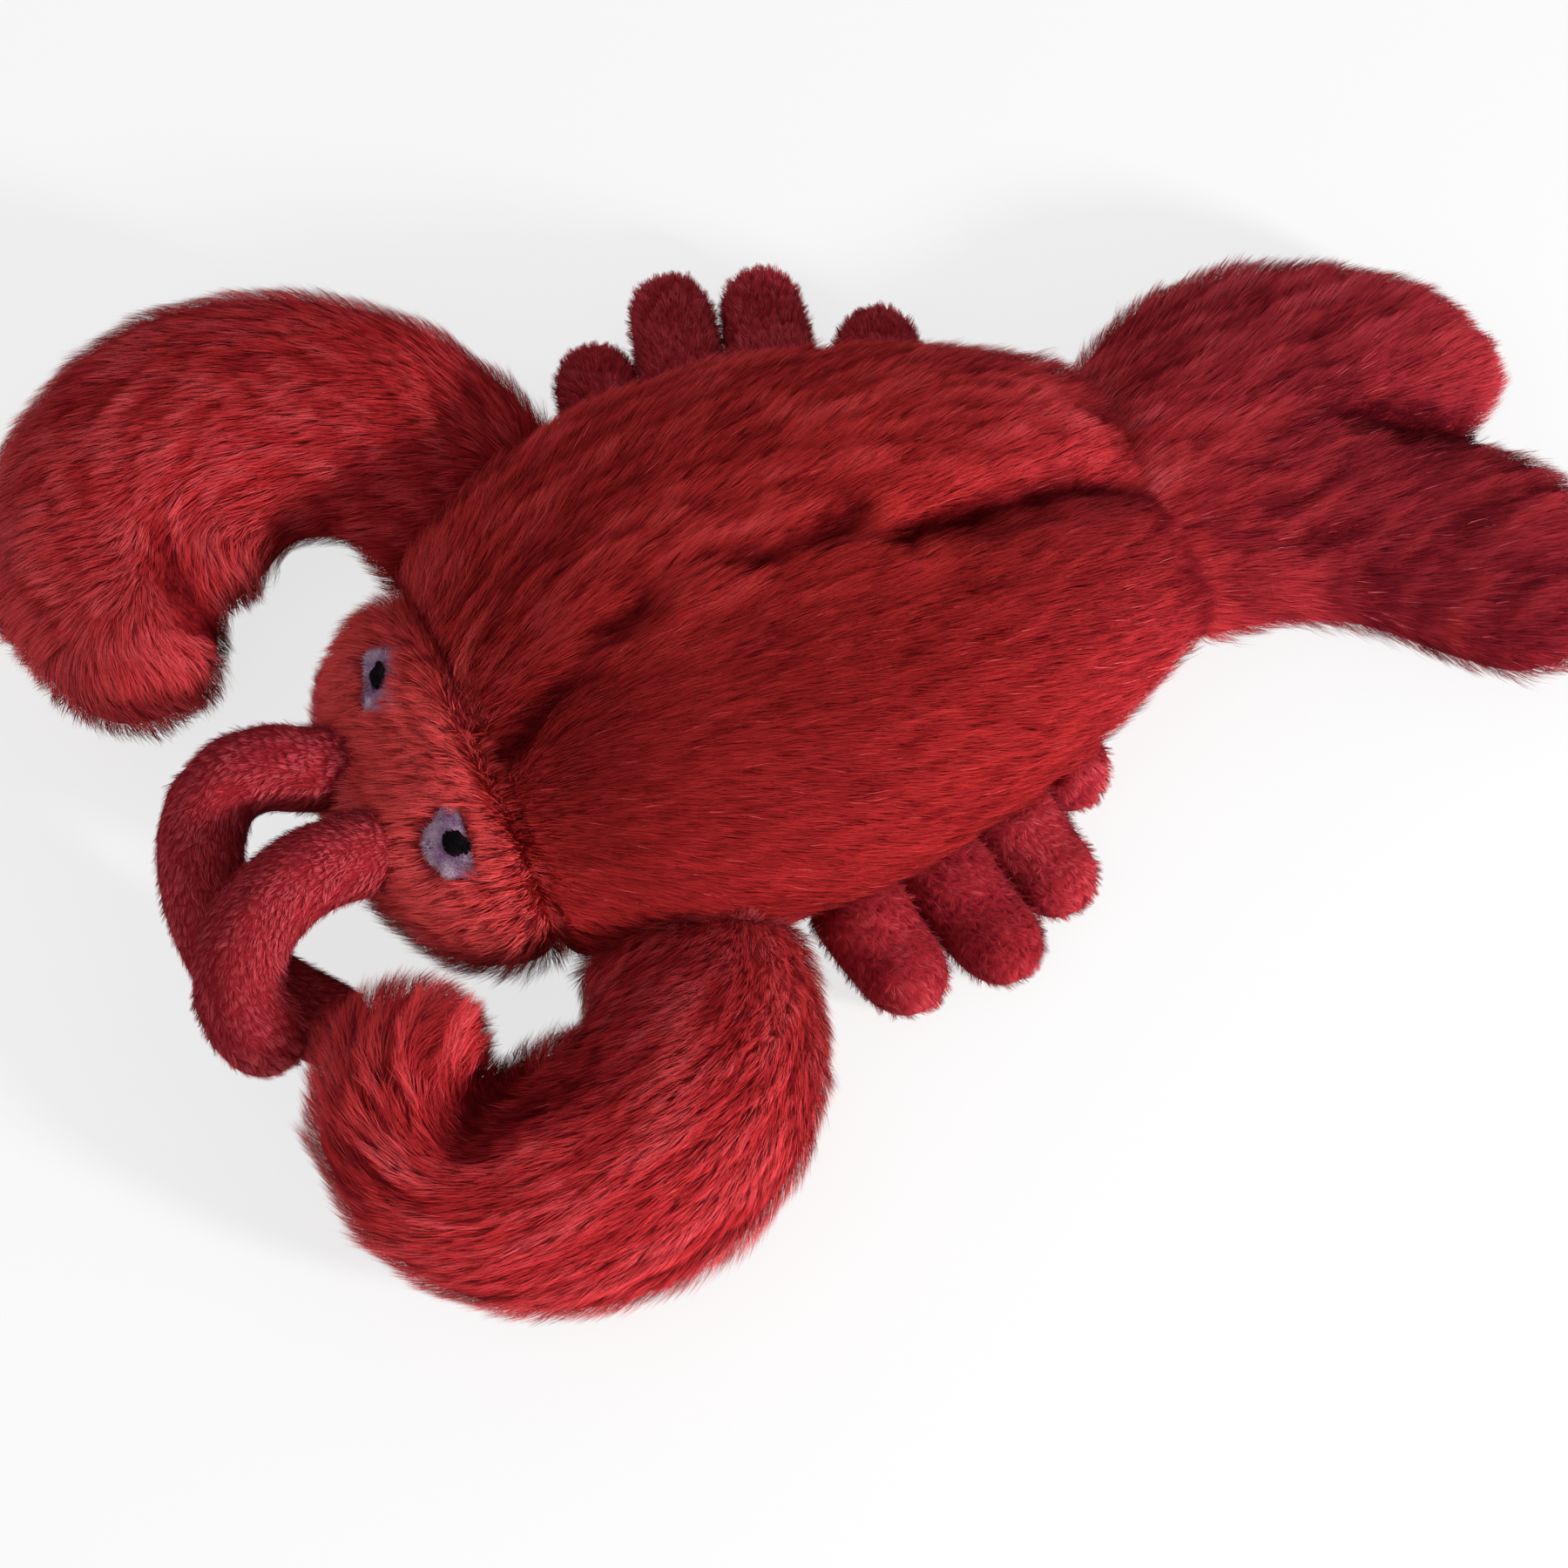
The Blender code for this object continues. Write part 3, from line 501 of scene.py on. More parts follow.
def comb_route(route, nap=(0, 0, 0), nap_share=0.0, nap_end=1.0):
    """Along a limb, drawn toward the nap of its cloth up to a share of the way to its tip."""
    places = route_points(route)
    tangents = unit(np.gradient(places, axis=0))
    steps = np.concatenate([[0], np.cumsum(np.linalg.norm(np.diff(places, axis=0), axis=1))])
    nap = np.array(nap, float)

    def comb(points):
        distance = np.linalg.norm(points[:, None] - places[None], axis=2)
        nearest = distance.min(axis=1, keepdims=True)
        weight = np.exp(-(distance ** 2 - nearest ** 2) / (2 * ROUTE_BLUR ** 2))
        weight /= weight.sum(axis=1, keepdims=True)
        tangent, along, middle = weight @ tangents, weight @ steps, weight @ places
        off = points - middle
        against = np.clip(-dot(unit(off), unit(nap)), 0, 1)
        share = nap_share * np.clip((nap_end - along / steps[-1]) / 0.15, 0, 1)[:, None] * (1 - 0.9 * against)
        side = unit(cross(tangent, np.array([0.0, 0.0, 1.0])))
        around = np.arctan2(off[:, 2], dot(off, side)[:, 0]) * np.linalg.norm(off, axis=1)
        return unit(tangent) * (1 - share) + nap * share, along, around
    return comb


def comb_leg(node):
    """From the body's side to the foot."""
    low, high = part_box(node)
    side = 1 if (low.x + high.x) > 0 else -1
    root = (low.x if side > 0 else high.x, low.y, (low.z + high.z) / 2)
    return comb_from((root[0] - side * 0.03, root[1], root[2]))


# Pile


def face_arrays(mesh):
    mesh.calc_loop_triangles()
    corners = np.empty(len(mesh.loop_triangles) * 3, np.int32)
    mesh.loop_triangles.foreach_get("vertices", corners)
    return vertex_array(mesh), vertex_array(mesh, "normal"), corners.reshape(-1, 3)


def scatter(skin, count, others, rng, where=None):
    """Evenly strewn points on the skin with its normals, none where it touches another piece or the floor."""
    points, normals, corners = face_arrays(skin.data)
    a, b, c = (points[corners[:, k]] for k in range(3))
    middle = (a + b + c) / 3
    facing = np.cross(b - a, c - a)
    weight = np.linalg.norm(facing, axis=1)
    up = facing[:, 2] / np.maximum(weight, 1e-12)
    tree = polygon_tree(others)
    free = np.array([tree.find_nearest(p, CONTACT)[0] is None for p in middle.tolist()])
    weight = weight * free * (middle[:, 2] > CONTACT) * np.where(up < -0.3, UNDERSIDE_SHARE, 1.0)
    if where is not None:
        weight = weight * where(middle)
    chosen = rng.choice(len(weight), size=count, p=weight / weight.sum())
    u, v = rng.random(count), rng.random(count)
    over = u + v > 1
    u[over], v[over] = 1 - u[over], 1 - v[over]
    mix = np.stack([1 - u - v, u, v], 1)[:, :, None]
    picked = corners[chosen]
    return (points[picked] * mix).sum(1), unit((normals[picked] * mix).sum(1))


def open_area(skin):
    points, _, corners = face_arrays(skin.data)
    a, b, c = (points[corners[:, k]] for k in range(3))
    return np.linalg.norm(np.cross(b - a, c - a), axis=1).sum() / 2


def bridge_seams(node, points, normal):
    """Near the seams at the neck and the waist, the pile's upward direction stops leaning along the body."""
    low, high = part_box("back_cover")
    neck = np.clip(1 - np.abs(points[:, 1] - low.y) / SEAM_BRIDGE, 0, 1)
    waist = np.clip(1 - np.abs(points[:, 1] - high.y) / SEAM_BRIDGE, 0, 1)
    if node not in ("back_cover", "head", "tail_fan"):
        return normal, np.zeros(len(points)), np.zeros(len(points))
    near = np.maximum(neck, waist * (0.65 if node == "back_cover" else 1.0))
    centre = np.array([(low.x + high.x) / 2, 0, low.z])
    outward = (points - centre) * np.array([1, 0, 1])
    normal = normal * np.stack([np.ones(len(near)), 1 - near, np.ones(len(near))], 1)
    return unit(normal + unit(outward) * (0.35 * near)[:, None]), neck, waist


def meet_eyes(points, direction, length, rng):
    """The pile lies away in front of an eye; behind it, it stands over the patch and ends short of the pupil.

    Behind the left eye it parts, along a streak of painted shade."""
    over, parting = np.zeros(len(points)), np.zeros(len(points))
    for side in ("left", "right"):
        low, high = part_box("pupil_" + side)
        away = points - np.array((low + high) / 2)
        distance = np.linalg.norm(away, axis=1)
        ahead = -dot(away, direction)[:, 0]
        aside = np.sqrt(np.maximum(distance ** 2 - ahead ** 2, 0))
        in_front = (np.clip(1 - distance / EYE_PARTING, 0, 1) * (ahead < 0))[:, None]
        direction = unit(direction + unit(away) * in_front * 1.5)
        length = length * (1 - 0.55 * in_front[:, 0])
        narrowing = np.sqrt(np.maximum(1 - (aside / EYE_SIDE) ** 2, 0))
        clear = PUPIL_CLEAR[side] * narrowing + rng.normal(0, 0.0007, len(points))
        room = np.maximum((ahead - clear) / 0.8, 0.0012)
        behind = (ahead > 0) & (aside < EYE_SIDE)
        length = np.where(behind, np.minimum(length, room), length)
        over = np.maximum(over, behind * np.clip(1.6 - distance / (2 * EYE_SIDE), 0, 1))
        if side == "left":
            # a streak of painted shade along the parting
            parting = behind * np.exp(-(aside / 0.0009) ** 2) * np.clip(1.5 - ahead / 0.006, 0, 1)
    return direction, length, over, parting


def calmness(node, points):
    """How little the pile is ruffled, from 0 to 1: sleek on the left of the back, ruffled on its right."""
    patch = ripples(points[:, 0] / 0.035, points[:, 1] / 0.035, 7.3)
    calm = 0.20 + 0.35 * patch
    if node == "back_cover":
        low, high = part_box(node)
        calm = 0.75 * np.clip((points[:, 0] - (low.x + high.x) / 2 + 0.012) / 0.030, 0, 1) + 0.2 * patch
    return np.clip(calm, 0, 0.85)


def grow(name, node, skin, count, pile, comb, others, finish, seed, where=None, ribbed=False, fluff_from=2.0):
    """Grows the pile on a skin: tapered fibres gathered into locks, combed along the flow."""
    rng = np.random.default_rng(SEED + seed)
    root, skin_normal = scatter(skin, count, others, rng, where)
    direction, along, across = comb(root)
    ripple = [ripples(along / pile.ripple_length, across / pile.ripple_width, seed + 0.37 * k) for k in range(3)]
    fine = ripples(along / pile.ripple_length * 1.7, across / pile.ripple_width * 2.6, seed + 5.1)
    ruffle = 1.15 - calmness(node, root)

    locks = max(count // pile.locks, 1)
    tree = KDTree(locks)
    for i, place in enumerate(root[:locks].tolist()):
        tree.insert(place, i)
    tree.balance()
    lock = np.array([tree.find(place)[1] for place in root.tolist()])
    lock_turn, lock_lift, lock_tone = (rng.normal(size=locks)[lock] for _ in range(3))

    normal, neck, waist = bridge_seams(node, root, skin_normal)
    reached = root + unit(direction) * pile.length * 0.6
    deep, shade = (np.max([fold_depth(place, fold, width) for fold, width in FOLDS.get(node, ())] or
                          [np.zeros(count)], axis=0) for place in (root, reached))
    fluff = np.clip((along / along.max() - fluff_from) / 0.08, 0, 1)
    length = pile.length * (1 + 0.14 * ripple[2] * ruffle + 0.06 * lock_lift + rng.uniform(-0.25, 0.12, count))
    length = length * (1 - 0.45 * deep) * (1 + 0.15 * fluff)
    direction = unit(direction - dot(direction, normal) * normal)
    blocked = np.clip(-dot(direction, skin_normal)[:, 0] * 1.6, 0, 1)
    over, parting = np.zeros(count), np.zeros(count)
    if node == "head":
        direction, length, over, parting = meet_eyes(root, direction, length, rng)
    turn = pile.swing * (0.8 * ripple[0] * ruffle + 0.30 * lock_turn + rng.normal(0, 0.35, count))
    turn = turn * (1 + 1.5 * fluff) + 0.5 * fluff * ripple[1]
    direction = direction * np.cos(turn)[:, None] + cross(normal, direction) * np.sin(turn)[:, None]
    play = 1 + pile.lift_play * (0.9 * ripple[1] * ruffle + 0.20 * lock_lift + rng.normal(0, 0.30, count))
    play = play * (1 + 0.5 * neck + 0.9 * fluff)
    rise, fall = pile.rise * np.clip(play, 0.25, 2.6), pile.fall * np.clip(play, 0.0, 3.0)
    rise = rise + (STANDING * rng.normal(1, 0.16, count) - rise) * blocked
    fall = fall + (STANDING * 0.45 * rng.normal(1, 0.4, count) - fall) * blocked
    rise = rise + (OVER_PATCH - rise) * over
    ruffled = np.exp(-((root[:, 0] - NECK_TUFTS) / NECK_TUFTS_WIDTH) ** 2)
    tuft = np.clip((neck - 0.55) / 0.35, 0, 1) * {"head": 0.60 + 0.40 * ruffled, "back_cover": ruffled}.get(node, 0)
    upright = math.pi / 2 + 0.30 * ripple[0] + rng.normal(0, 0.35, count) + ruffled * (0.45 * lock_turn)
    upright = np.clip(upright + TUFT_LEAN.get(node, 0), 0.35, 2.6)
    rise, fall = rise + (upright - rise) * tuft, fall + (math.pi / 2 + 1.5 * (upright - math.pi / 2) - fall) * tuft
    length = length * (1 - 0.15 * tuft)
    mingle = waist * (0.85 if node == "tail_fan" else 0.45)
    rise = rise + (np.clip(1.0 + 0.25 * lock_lift, 0.4, 1.5) - rise) * mingle
    fall = fall + (0.45 - fall) * mingle
    length = length * (1 - 0.35 * rng.random(count) * waist)
    half = (length / 2)[:, None]
    base = root - skin_normal * pile.width
    middle = base + half * (direction * np.cos(rise)[:, None] + normal * np.sin(rise)[:, None])
    tip = middle + half * (direction * np.cos(fall)[:, None] + normal * np.sin(fall)[:, None])

    gather = (pile.gather * rng.uniform(0.5, 1.2, count) * (1 - 0.6 * tuft * (1 - ruffled)))[:, None]
    tip = tip + (tip[lock] - tip) * gather
    middle = middle + (middle[lock] - middle) * gather * 0.4
    rib_shade = 0.0
    if ribbed:
        reach = along + length * 0.6 + RIB_WANDER * ripple[0]
        shift = (np.round(reach / RIB_PITCH) * RIB_PITCH - reach) * RIB_PULL
        tip = tip + direction * shift[:, None]
        # painted shade between the ribbing's crests, painted light on them
        rib_shade = RIB_SHADE * np.cos(2 * math.pi * reach / RIB_PITCH)
    tone = MIDDLE_TONE + pile.contrast * (ripple[1] + 0.6 * fine) * ruffle
    # each piece's tone is partly painted light and shade, for how the light falls on its nap
    tone = tone + 0.035 * lock_tone + rng.normal(0, 0.05, count) + NAP_TONE_AND_LIGHT.get(node, 0.0) + rib_shade
    calm = calmness(node, root)
    if node == "claw_right":
        # painted shade at the right claw's root, where the body's shadow falls
        tone = tone + RIGHT_CLAW_ROOT_SHADE * (along / along.max() - 0.5)
    if node in WAIST_SHADE_AND_LIGHT:
        # painted shade on the left side, which the key lamp lights most
        tone = tone - LEFT_SIDE_SHADE * np.clip(root[:, 0] / 0.030, 0, 1)
        # painted shade on the back's end and painted light on the tail's root at the waist
        tone = tone + waist * WAIST_SHADE_AND_LIGHT[node]
    tone = tone + neck * NECK_TONE.get(node, 0) - PARTING_SHADE * parting
    # painted shade: the pile in a fold is darker
    tone = np.where(rng.random(count) < GLINTS, GLINT_TONE, tone - FOLD_SHADE * np.maximum(deep, shade))
    # painted light: the roots' painted shade is lightened in the neck's tufts, on the sleek side and at the tail's
    # waist
    lift = 0.5 * tuft * (1 - 0.7 * ruffled) + 0.25 * calm + 0.35 * waist * (node == "tail_fan")
    return fibre_object(name, base, middle, tip, normal, pile.width, tone, finish, rng,
                        bent_share=0.0 if ribbed else BENT_SHARE, depth=np.maximum(deep, shade), lift=lift)


KITE = np.array([[0, 1, 2], [2, 1, 3]])  # a bent fibre: root, the bend's two sides, tip
KITE_HEIGHTS, KITE_SIDES = (0.02, 0.55, 0.55, 0.98), (0.0, 1.0, -1.0, 0.0)
BLADE = np.array([[0, 1, 2]])  # a straight fibre: one side of its root, tip, the other side
BLADE_HEIGHTS, BLADE_SIDES = (0.02, 0.98, 0.02), (1.0, 0.0, -1.0)


def fibre_object(name, base, middle, tip, normal, width, tone, finish, rng, bent_share, depth=None, lift=None):
    """One mesh of fibres. Bent ones are kites of two triangles, widest at the bend; others are one triangle."""
    count = len(base)
    bent = round(count * bent_share)
    straight = count - bent
    along = unit(tip - base)
    level = unit(normal - dot(normal, along) * along)
    roll = rng.uniform(-0.40, 0.40, count)[:, None]
    right = unit(cross(along, level) * np.cos(roll) + level * np.sin(roll))
    spread = right * (width * rng.uniform(0.35, 0.60, count))[:, None]
    b, s = slice(0, bent), slice(bent, count)
    corners = np.concatenate([
        np.stack([base[b], middle[b] + spread[b], middle[b] - spread[b], tip[b]], 1).reshape(-1, 3),
        np.stack([base[s] + spread[s], tip[s], base[s] - spread[s]], 1).reshape(-1, 3)])
    faces = np.concatenate([(np.arange(bent)[:, None, None] * 4 + KITE).reshape(-1, 3),
                            (bent * 4 + np.arange(straight)[:, None, None] * 3 + BLADE).reshape(-1, 3)])
    owner = np.concatenate([np.repeat(np.arange(bent), 4), np.repeat(np.arange(bent, count), 3)])
    heights = np.concatenate([np.tile(KITE_HEIGHTS, bent), np.tile(BLADE_HEIGHTS, straight)])
    sides = np.concatenate([np.tile(KITE_SIDES, bent), np.tile(BLADE_SIDES, straight)])
    corners[:, 2] = np.maximum(corners[:, 2], FLOOR_CLEARANCE)
    # painted shade and light: a fold moves a fibre's colour toward its darker root, the root light toward its
    # lighter tip
    if depth is not None:
        heights = np.clip((heights + lift[owner]) * (1 - 0.9 * depth[owner]), 0, 0.98)

    mesh = bpy.data.meshes.new(name)
    mesh.vertices.add(len(corners))
    mesh.vertices.foreach_set("co", corners.astype(np.float32).ravel())
    mesh.loops.add(faces.size)
    mesh.loops.foreach_set("vertex_index", faces.astype(np.int32).ravel())
    mesh.polygons.add(len(faces))
    mesh.polygons.foreach_set("loop_start", np.arange(0, faces.size, 3, dtype=np.int32))
    mesh.update(calc_edges=True)
    places = np.stack([np.clip(tone, 0.03, 0.97)[owner] + sides * 0.006, heights], 1)
    uv = mesh.uv_layers.new(name="OFBake")
    uv.data.foreach_set("uv", places[faces.ravel()].astype(np.float32).ravel())
    shading = unit(normal * 0.55 + level * 0.45)
    mesh.polygons.foreach_set("use_smooth", np.ones(len(faces), bool))
    mesh.normals_split_custom_set_from_vertices(shading[owner].tolist())
    mesh.materials.append(finish)
    made = new_object(name, mesh)
    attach(made, "root")
    return made


# Eyes


def tube(path, radius, sides=7):
    """Rings of a thread along a path, and its faces."""
    tangents = np.gradient(path, axis=0)
    points, faces = [], []
    side = unit(cross(tangents, np.array([0.31, 0.22, 0.92])))
    up = unit(cross(side, tangents))
    for i, place in enumerate(path):
        swell = radius * math.sin(math.pi * (i + 0.6) / (len(path) + 0.2)) ** 0.35
        for j in range(sides):
            angle = 2 * math.pi * j / sides
            points.append(place + (side[i] * math.cos(angle) + up[i] * math.sin(angle)) * swell)
    for i in range(len(path) - 1):
        for j in range(sides):
            k = (j + 1) % sides
            faces.append((i * sides + j, i * sides + k, (i + 1) * sides + k, (i + 1) * sides + j))
    faces.append(tuple(range(sides))[::-1])
    faces.append(tuple((len(path) - 1) * sides + j for j in range(sides)))
    return points, faces


def make_pupil(side_name, side, finish, rng):
    """Satin stitches of thick black thread over the pupil's disc."""
    low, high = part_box("pupil_" + side_name)
    centre = np.array((low + high) / 2)
    facing = unit(np.array([side * EYE_FACING[0], EYE_FACING[1], EYE_FACING[2]]))
    across = unit(cross(facing, np.array([0.0, 0.0, 1.0])))
    up = cross(across, facing)
    points, faces = [], []
    for layer, turn in ((0, 0.5), (1, 1.25), (2, 0.2)):
        one = across * math.cos(turn) + up * math.sin(turn)
        two = cross(facing, one)
        for k in range(-STITCHES, STITCHES + 1):
            offset = k * THREAD_PITCH + rng.normal(0, 0.00008)
            reach = math.sqrt(max(PUPIL_RADIUS ** 2 - offset ** 2, 0))
            reach *= rng.uniform(0.80, 1.04) * (1 - 0.14 * layer)
            if abs(offset) > PUPIL_RADIUS * 0.94:
                continue
            way = np.linspace(-1, 1, 9)[:, None]
            rise = (0.0002 + 0.00055 * layer + 0.0009 * (1 - way ** 2)) + rng.normal(0, 0.00006)
            path = centre + two * (offset + 0.0002 * way ** 2) + one * way * reach + facing * rise
            start = len(points)
            new_points, new_faces = tube(path, THREAD_RADIUS)
            points.extend(new_points)
            faces.extend(tuple(start + i for i in face) for face in new_faces)
    way, share = PUPIL_SQUASH[side_name]
    points = np.array(points)
    points = points - dot(points - centre, np.array(way)) * (1 - share) * np.array(way)
    mesh = bpy.data.meshes.new("pupil_stitches_" + side_name)
    mesh.from_pydata([tuple(p) for p in points.tolist()], [], faces)
    mesh.shade_smooth()
    mesh.materials.append(finish)
    made = new_object(mesh.name, mesh)
    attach(made, "root")
    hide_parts("pupil_" + side_name)


def make_eye_patch(side_name, side, head_skin, finish, fuzz_finish, seed):
    """A soft, uneven oval of napped felt draped on the head, with its own short fuzz."""
    node = "eye_patch_" + side_name
    centre = sum(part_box("pupil_" + side_name), Vector()) / 2
    front_cut, rear_cut = EYE_OPEN[side_name]
    facing = Vector((side * EYE_FACING[0], EYE_FACING[1], EYE_FACING[2])).normalized()
    across = facing.cross(Vector((0, 0, 1))).normalized()
    up = across.cross(facing)
    tree = polygon_tree([head_skin])
    points, faces = [], []
    for i in range(PATCH_RINGS + 1):
        share = i / PATCH_RINGS
        for j in range(PATCH_SIDES):
            angle = 2 * math.pi * j / PATCH_SIDES
            rearward = (across * math.cos(angle) + up * math.sin(angle)).dot(Vector(EYE_REAR[side_name]))
            cut = (rear_cut if rearward > 0 else -front_cut) / max(abs(rearward), 0.01)
            edge = min(PATCH_RADIUS[side_name], cut) * (
                1.04 + 0.20 * noise.noise((math.cos(angle) * 1.8, math.sin(angle) * 1.8, seed))
                + 0.10 * noise.noise((math.cos(angle) * 5, math.sin(angle) * 5, seed)))
            flat = centre + (across * math.cos(angle) + up * math.sin(angle)) * edge * share
            hit = tree.ray_cast(flat + facing * 0.02, -facing)[0] or flat
            crown = PATCH_THICKNESS * (1 - 0.8 * share ** 4) + 0.00016 * noise.noise(hit * 420)
            points.append(hit + facing * crown)
    for i in range(PATCH_RINGS):
        for j in range(PATCH_SIDES):
            k = (j + 1) % PATCH_SIDES
            faces.append((i * PATCH_SIDES + j, (i + 1) * PATCH_SIDES + j, (i + 1) * PATCH_SIDES + k,
                          i * PATCH_SIDES + k))
    mesh = bpy.data.meshes.new(node + "_felt")
    mesh.from_pydata(points, [], faces)
    patch = new_object(mesh.name, mesh)
    fused = patch.modifiers.new("fused", "WELD")
    fused.merge_threshold = 0.00002
    thick = patch.modifiers.new("thick", "SOLIDIFY")
    thick.thickness = FELT_THICKNESS
    applied(patch)
    patch.data.shade_smooth()
    patch.data.materials.append(finish)
    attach(patch, "root")
    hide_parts(node)
    rng = np.random.default_rng(SEED + seed)
    base, normal = scatter(patch, PATCH_FUZZ, [head_skin], rng)
    normal = np.where(dot(normal, np.array(facing)) < 0, -normal, normal)
    lean = unit(normal + rng.normal(0, 0.85, normal.shape))
    tip = base + lean * rng.uniform(0.0005, 0.0014, len(base))[:, None]
    smears = np.array([noise.noise((p * 260).tolist()) for p in base])
    inward = np.exp(-(np.linalg.norm(base - np.array(centre), axis=1) / 0.0052) ** 2)
    tone = 0.78 + 0.60 * smears - 0.50 * inward + rng.normal(0, 0.12, len(base))
    fuzz = fibre_object("eye_fuzz_" + side_name, base, base, tip, normal, 0.00013, tone, fuzz_finish, rng,
                        bent_share=0.0)
    return patch


# Scene


def make_camera():
    back = Vector((math.sin(CAMERA_AZIMUTH) * math.cos(CAMERA_ELEVATION),
                   -math.cos(CAMERA_AZIMUTH) * math.cos(CAMERA_ELEVATION), math.sin(CAMERA_ELEVATION)))
    right = Vector((math.cos(CAMERA_AZIMUTH), math.sin(CAMERA_AZIMUTH), 0))
    camera = bpy.data.objects.new("camera", bpy.data.cameras.new("camera"))
    bpy.context.collection.objects.link(camera)
    camera.matrix_world = (Matrix.Translation(AIM + back * CAMERA_DISTANCE)
                           @ Matrix((right, back.cross(right), back)).transposed().to_4x4())
    camera.data.sensor_width = SENSOR_WIDTH
    camera.data.lens = LENS
    camera.data.clip_start = 0.01
    bpy.context.scene.camera = camera
    return right, back


def add_light(name, direction, distance, size, strength):
    """strength is what a white surface facing the light would add to its brightness."""
    light = bpy.data.lights.new(name, "AREA")
    light.shape = "DISK"
    light.size = size
    light.energy = strength * math.pi ** 2 * distance ** 2
    lamp = bpy.data.objects.new(name, light)
    bpy.context.collection.objects.link(lamp)
    lamp.location = AIM + direction.normalized() * distance
    lamp.rotation_euler = direction.to_track_quat("Z", "Y").to_euler()


def seen_rays(nodes, links):
    """1 for rays that see the background: straight from the camera, in gloss or through glass."""
    path = nodes.new("ShaderNodeLightPath")
    total = path.outputs["Is Camera Ray"]
    for kind in ("Is Glossy Ray", "Is Transmission Ray"):
        add = nodes.new("ShaderNodeMath")
        add.operation = "MAXIMUM"
        links.new(total, add.inputs[0])
        links.new(path.outputs[kind], add.inputs[1])
        total = add.outputs[0]
    return total


def make_world(horizon, overhead):
    """A white studio, lit more from its walls than from its ceiling."""
    world = bpy.data.worlds.new("studio")
    world.use_nodes = True
    nodes, links = world.node_tree.nodes, world.node_tree.links
    place = nodes.new("ShaderNodeTexCoord")
    split = nodes.new("ShaderNodeSeparateXYZ")
    links.new(place.outputs["Generated"], split.inputs[0])
    level = nodes.new("ShaderNodeMapRange")
    for name, value in (("From Min", 0.05), ("From Max", 0.95), ("To Min", horizon), ("To Max", overhead)):
        level.inputs[name].default_value = value
    links.new(split.outputs["Z"], level.inputs["Value"])
    lit = nodes["Background"]
    lit.inputs["Color"].default_value = (1, 1, 1, 1)
    links.new(level.outputs["Result"], lit.inputs["Strength"])
    seen = nodes.new("ShaderNodeBackground")
    seen.inputs["Color"].default_value = (1, 1, 1, 1)
    seen.inputs["Strength"].default_value = 1
    mix = nodes.new("ShaderNodeMixShader")
    links.new(seen_rays(nodes, links), mix.inputs["Fac"])
    links.new(lit.outputs[0], mix.inputs[1])
    links.new(seen.outputs[0], mix.inputs[2])
    links.new(mix.outputs[0], nodes["World Output"].inputs["Surface"])
    bpy.context.scene.world = world


def make_floor(size=30.0, seen_share=0.75):
    """Pale floor: part of what the camera sees of it is its own white, the rest keeps the toy's shadow."""
    mesh = bpy.data.meshes.new("floor")
    half = size / 2
    mesh.from_pydata([(-half, -half, 0), (half, -half, 0), (half, half, 0), (-half, half, 0)], [], [(0, 1, 2, 3)])
    floor = new_object("floor", mesh)
    material = bpy.data.materials.new("pale_floor")
    nodes, links = nodes_of(material)
    shader = nodes["Principled BSDF"]
    shader.inputs["Base Color"].default_value = (0.90, 0.90, 0.90, 1)
    shader.inputs["Roughness"].default_value = 0.9
    white = nodes.new("ShaderNodeEmission")
    white.inputs["Strength"].default_value = 1
    share = nodes.new("ShaderNodeMath")
    share.operation = "MULTIPLY"
    share.inputs[1].default_value = seen_share
    links.new(seen_rays(nodes, links), share.inputs[0])
    mix = nodes.new("ShaderNodeMixShader")
    links.new(share.outputs[0], mix.inputs["Fac"])
    links.new(shader.outputs[0], mix.inputs[1])
    links.new(white.outputs[0], mix.inputs[2])
    links.new(mix.outputs[0], nodes["Material Output"].inputs["Surface"])
    mesh.materials.append(material)


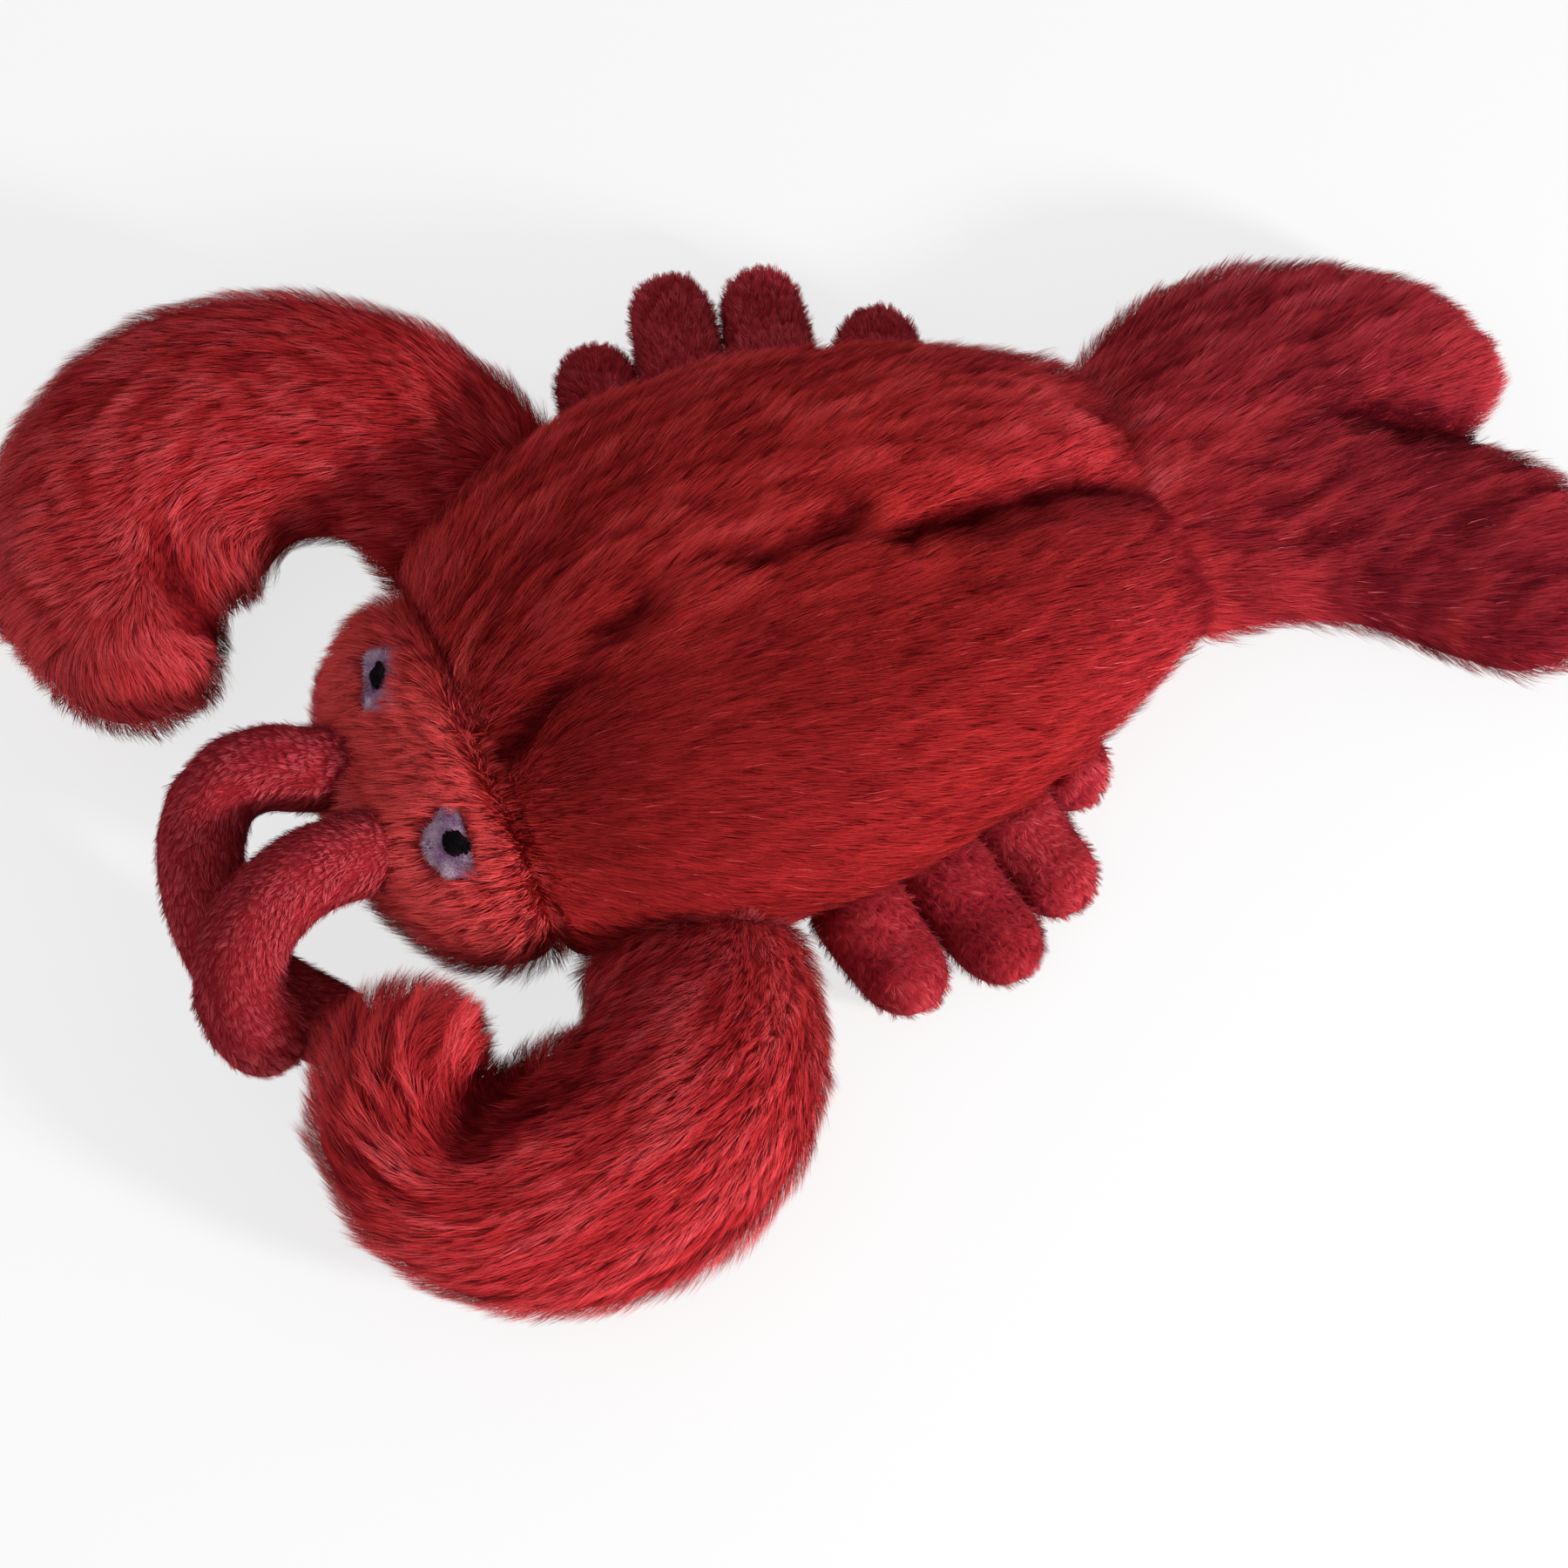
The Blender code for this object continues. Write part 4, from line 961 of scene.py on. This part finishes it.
def main():
    right, back = make_camera()
    make_world(WALL_LIGHT, CEILING_LIGHT)
    add_light("key", KEY_FROM, KEY_DISTANCE, KEY_SIZE, KEY_STRENGTH)
    add_light("fill", back - right * 0.6, FILL_DISTANCE, FILL_SIZE, FILL_STRENGTH)
    make_floor()

    back_tones = ((0.0, (0.15, 0.004, 0.006)), (0.45, (0.60, 0.035, 0.035)), (1.0, (1.0, 0.125, 0.128)))
    claw_tones = ((0.0, (0.15, 0.004, 0.008)), (0.45, (0.62, 0.033, 0.038)), (1.0, (0.99, 0.15, 0.168)))
    # painted shade: the rear's cooler, purpler tones stand in for the shade further from the light
    shaded_tail_tones = ((0.0, (0.14, 0.007, 0.015)), (0.45, (0.60, 0.045, 0.059)), (1.0, (0.97, 0.18, 0.21)))
    short_tones = ((0.0, (0.13, 0.004, 0.012)), (0.45, (0.56, 0.034, 0.047)), (1.0, (0.91, 0.135, 0.165)))
    felt_tones = ((0.0, (0.10, 0.015, 0.13)), (0.5, (0.38, 0.17, 0.33)), (1.0, (0.84, 0.66, 0.77)))
    # painted shade: fibres darken toward their roots, for the shade deep in the pile; the felt's fuzz only a little
    root_shade_to_tip = ((0.0, (0.42, 0.36, 0.40)), (0.50, (0.76, 0.72, 0.74)), (1.0, (1.0, 1.0, 1.0)))
    mild_root_shade = ((0.0, (0.75, 0.75, 0.75)), (1.0, (1.0, 1.0, 1.0)))
    back_fibre = fibre_material("long_pile_back", back_tones, root_shade_to_tip, 0.42, (1.0, 0.22, 0.27), shaded_tail_tones)
    claw_fibre = fibre_material("long_pile_claws", claw_tones, root_shade_to_tip, 0.42, (1.0, 0.22, 0.27))
    short_fibre = fibre_material("short_pile_fibre", short_tones, root_shade_to_tip, 0.58, (1.0, 0.24, 0.34))
    felt_fibre = fibre_material("eye_felt_fibre", felt_tones, mild_root_shade, 0.80, (1.0, 0.95, 1.0))
    long_backing = cloth_material("long_pile_backing", (0.18, 0.005, 0.007), (0.34, 0.010, 0.014), 900)
    short_backing = cloth_material("short_pile_backing", (0.16, 0.005, 0.010), (0.30, 0.010, 0.018), 1100)
    felt = cloth_material("eye_felt_cloth", (0.14, 0.04, 0.17), (0.58, 0.42, 0.55), 320)
    thread = cloth_material("pupil_thread_black", (0.0015, 0.001, 0.002), (0.006, 0.004, 0.006), 2500, gloss=0.06)

    long_nodes = ("back_cover", "head", "tail_fan", "claw_left", "claw_right")
    legs = [f"leg_{side}_{i}" for side in ("left", "right") for i in range(1, 5)]
    limbs = ("antenna_left", "antenna_right", *legs)
    skins = make_skins([(node, BIG_VOXEL) for node in (*long_nodes, "belly_panel")]
                       + [(node, SMALL_VOXEL) for node in limbs])
    for node, skin in skins.items():
        long = node in long_nodes
        skin.data.materials.clear()
        skin.data.materials.append(long_backing if long else short_backing)
        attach(skin, "root")
        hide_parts(node)

    rng = np.random.default_rng(SEED)
    patches = [make_eye_patch(name, side, skins["head"], felt, felt_fibre, seed)
               for name, side, seed in (("left", 1, 61), ("right", -1, 62))]
    for side_name, side in (("left", 1), ("right", -1)):
        make_pupil(side_name, side, thread, rng)

    def others(node):
        return [skin for name, skin in skins.items() if name != node] + patches * (node == "head")

    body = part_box("back_cover")
    middle = (body[0].x + body[1].x) / 2
    seam_y = body[0].y
    for half_name, sign, seed in (("left", 1, 1), ("right", -1, 2)):
        fur = grow("back_fur_" + half_name, "back_cover", skins["back_cover"], BACK_FIBRES, LONG_BACK, comb_back,
                   others("back_cover"), back_fibre, seed,
                   where=lambda p, s=sign: ((p[:, 0] - middle) * s >= 0) * 1.0)

    def clear_of_eyes(points):
        clear = np.ones(len(points), bool)
        for side in ("left", "right"):
            away = points - np.array(sum(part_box("pupil_" + side), Vector()) / 2)
            distance, rearward = np.linalg.norm(away, axis=1), away @ np.array(EYE_REAR[side])
            front_cut, rear_cut = EYE_OPEN[side]
            opened = (distance < PATCH_RADIUS[side]) & (rearward > front_cut) & (rearward < rear_cut)
            clear &= ~opened & (distance > PUPIL_BARE)
        return clear

    for node, count, pile, comb, seed, finish, fluff_from in (
            ("head", HEAD_FIBRES, LONG_HEAD, comb_from((middle + 0.050, seam_y + 0.080, 0.018)), 3, back_fibre, 2.0),
            ("tail_fan", TAIL_FIBRES, LONG_TAIL, comb_from((middle, body[1].y - 0.075, 0.020)), 4, back_fibre, 2.0),
            ("claw_left", CLAW_FIBRES, LONG_CLAW, comb_route(CLAW_LEFT_ROUTE, CLAW_LEFT_NAP, 0.66, 0.80), 5,
             claw_fibre, 0.84),
            ("claw_right", CLAW_FIBRES, LONG_CLAW, comb_route(CLAW_RIGHT_ROUTE, CLAW_RIGHT_NAP, 0.84, 0.98), 6,
             claw_fibre, 0.94)):
        fur = grow(node + "_fur", node, skins[node], count, pile, comb, others(node), finish, seed,
                   where=clear_of_eyes if node == "head" else None, fluff_from=fluff_from)

    combs = {"antenna_left": comb_route(ANTENNA_LEFT_ROUTE), "antenna_right": comb_route(ANTENNA_RIGHT_ROUTE),
             "belly_panel": comb_back, **{leg: comb_leg(leg) for leg in legs}}
    for k, (node, comb) in enumerate(combs.items()):
        count = int(open_area(skins[node]) * SHORT_DENSITY * (BELLY_SHARE if node == "belly_panel" else 1))
        pile = grow(node + "_pile", node, skins[node], count, ANTENNA_PILE if "antenna" in node else LEG_PILE,
                    comb, others(node), short_fibre, 20 + k, ribbed=True)

    bpy.context.scene.view_settings.view_transform = "Standard"


main()
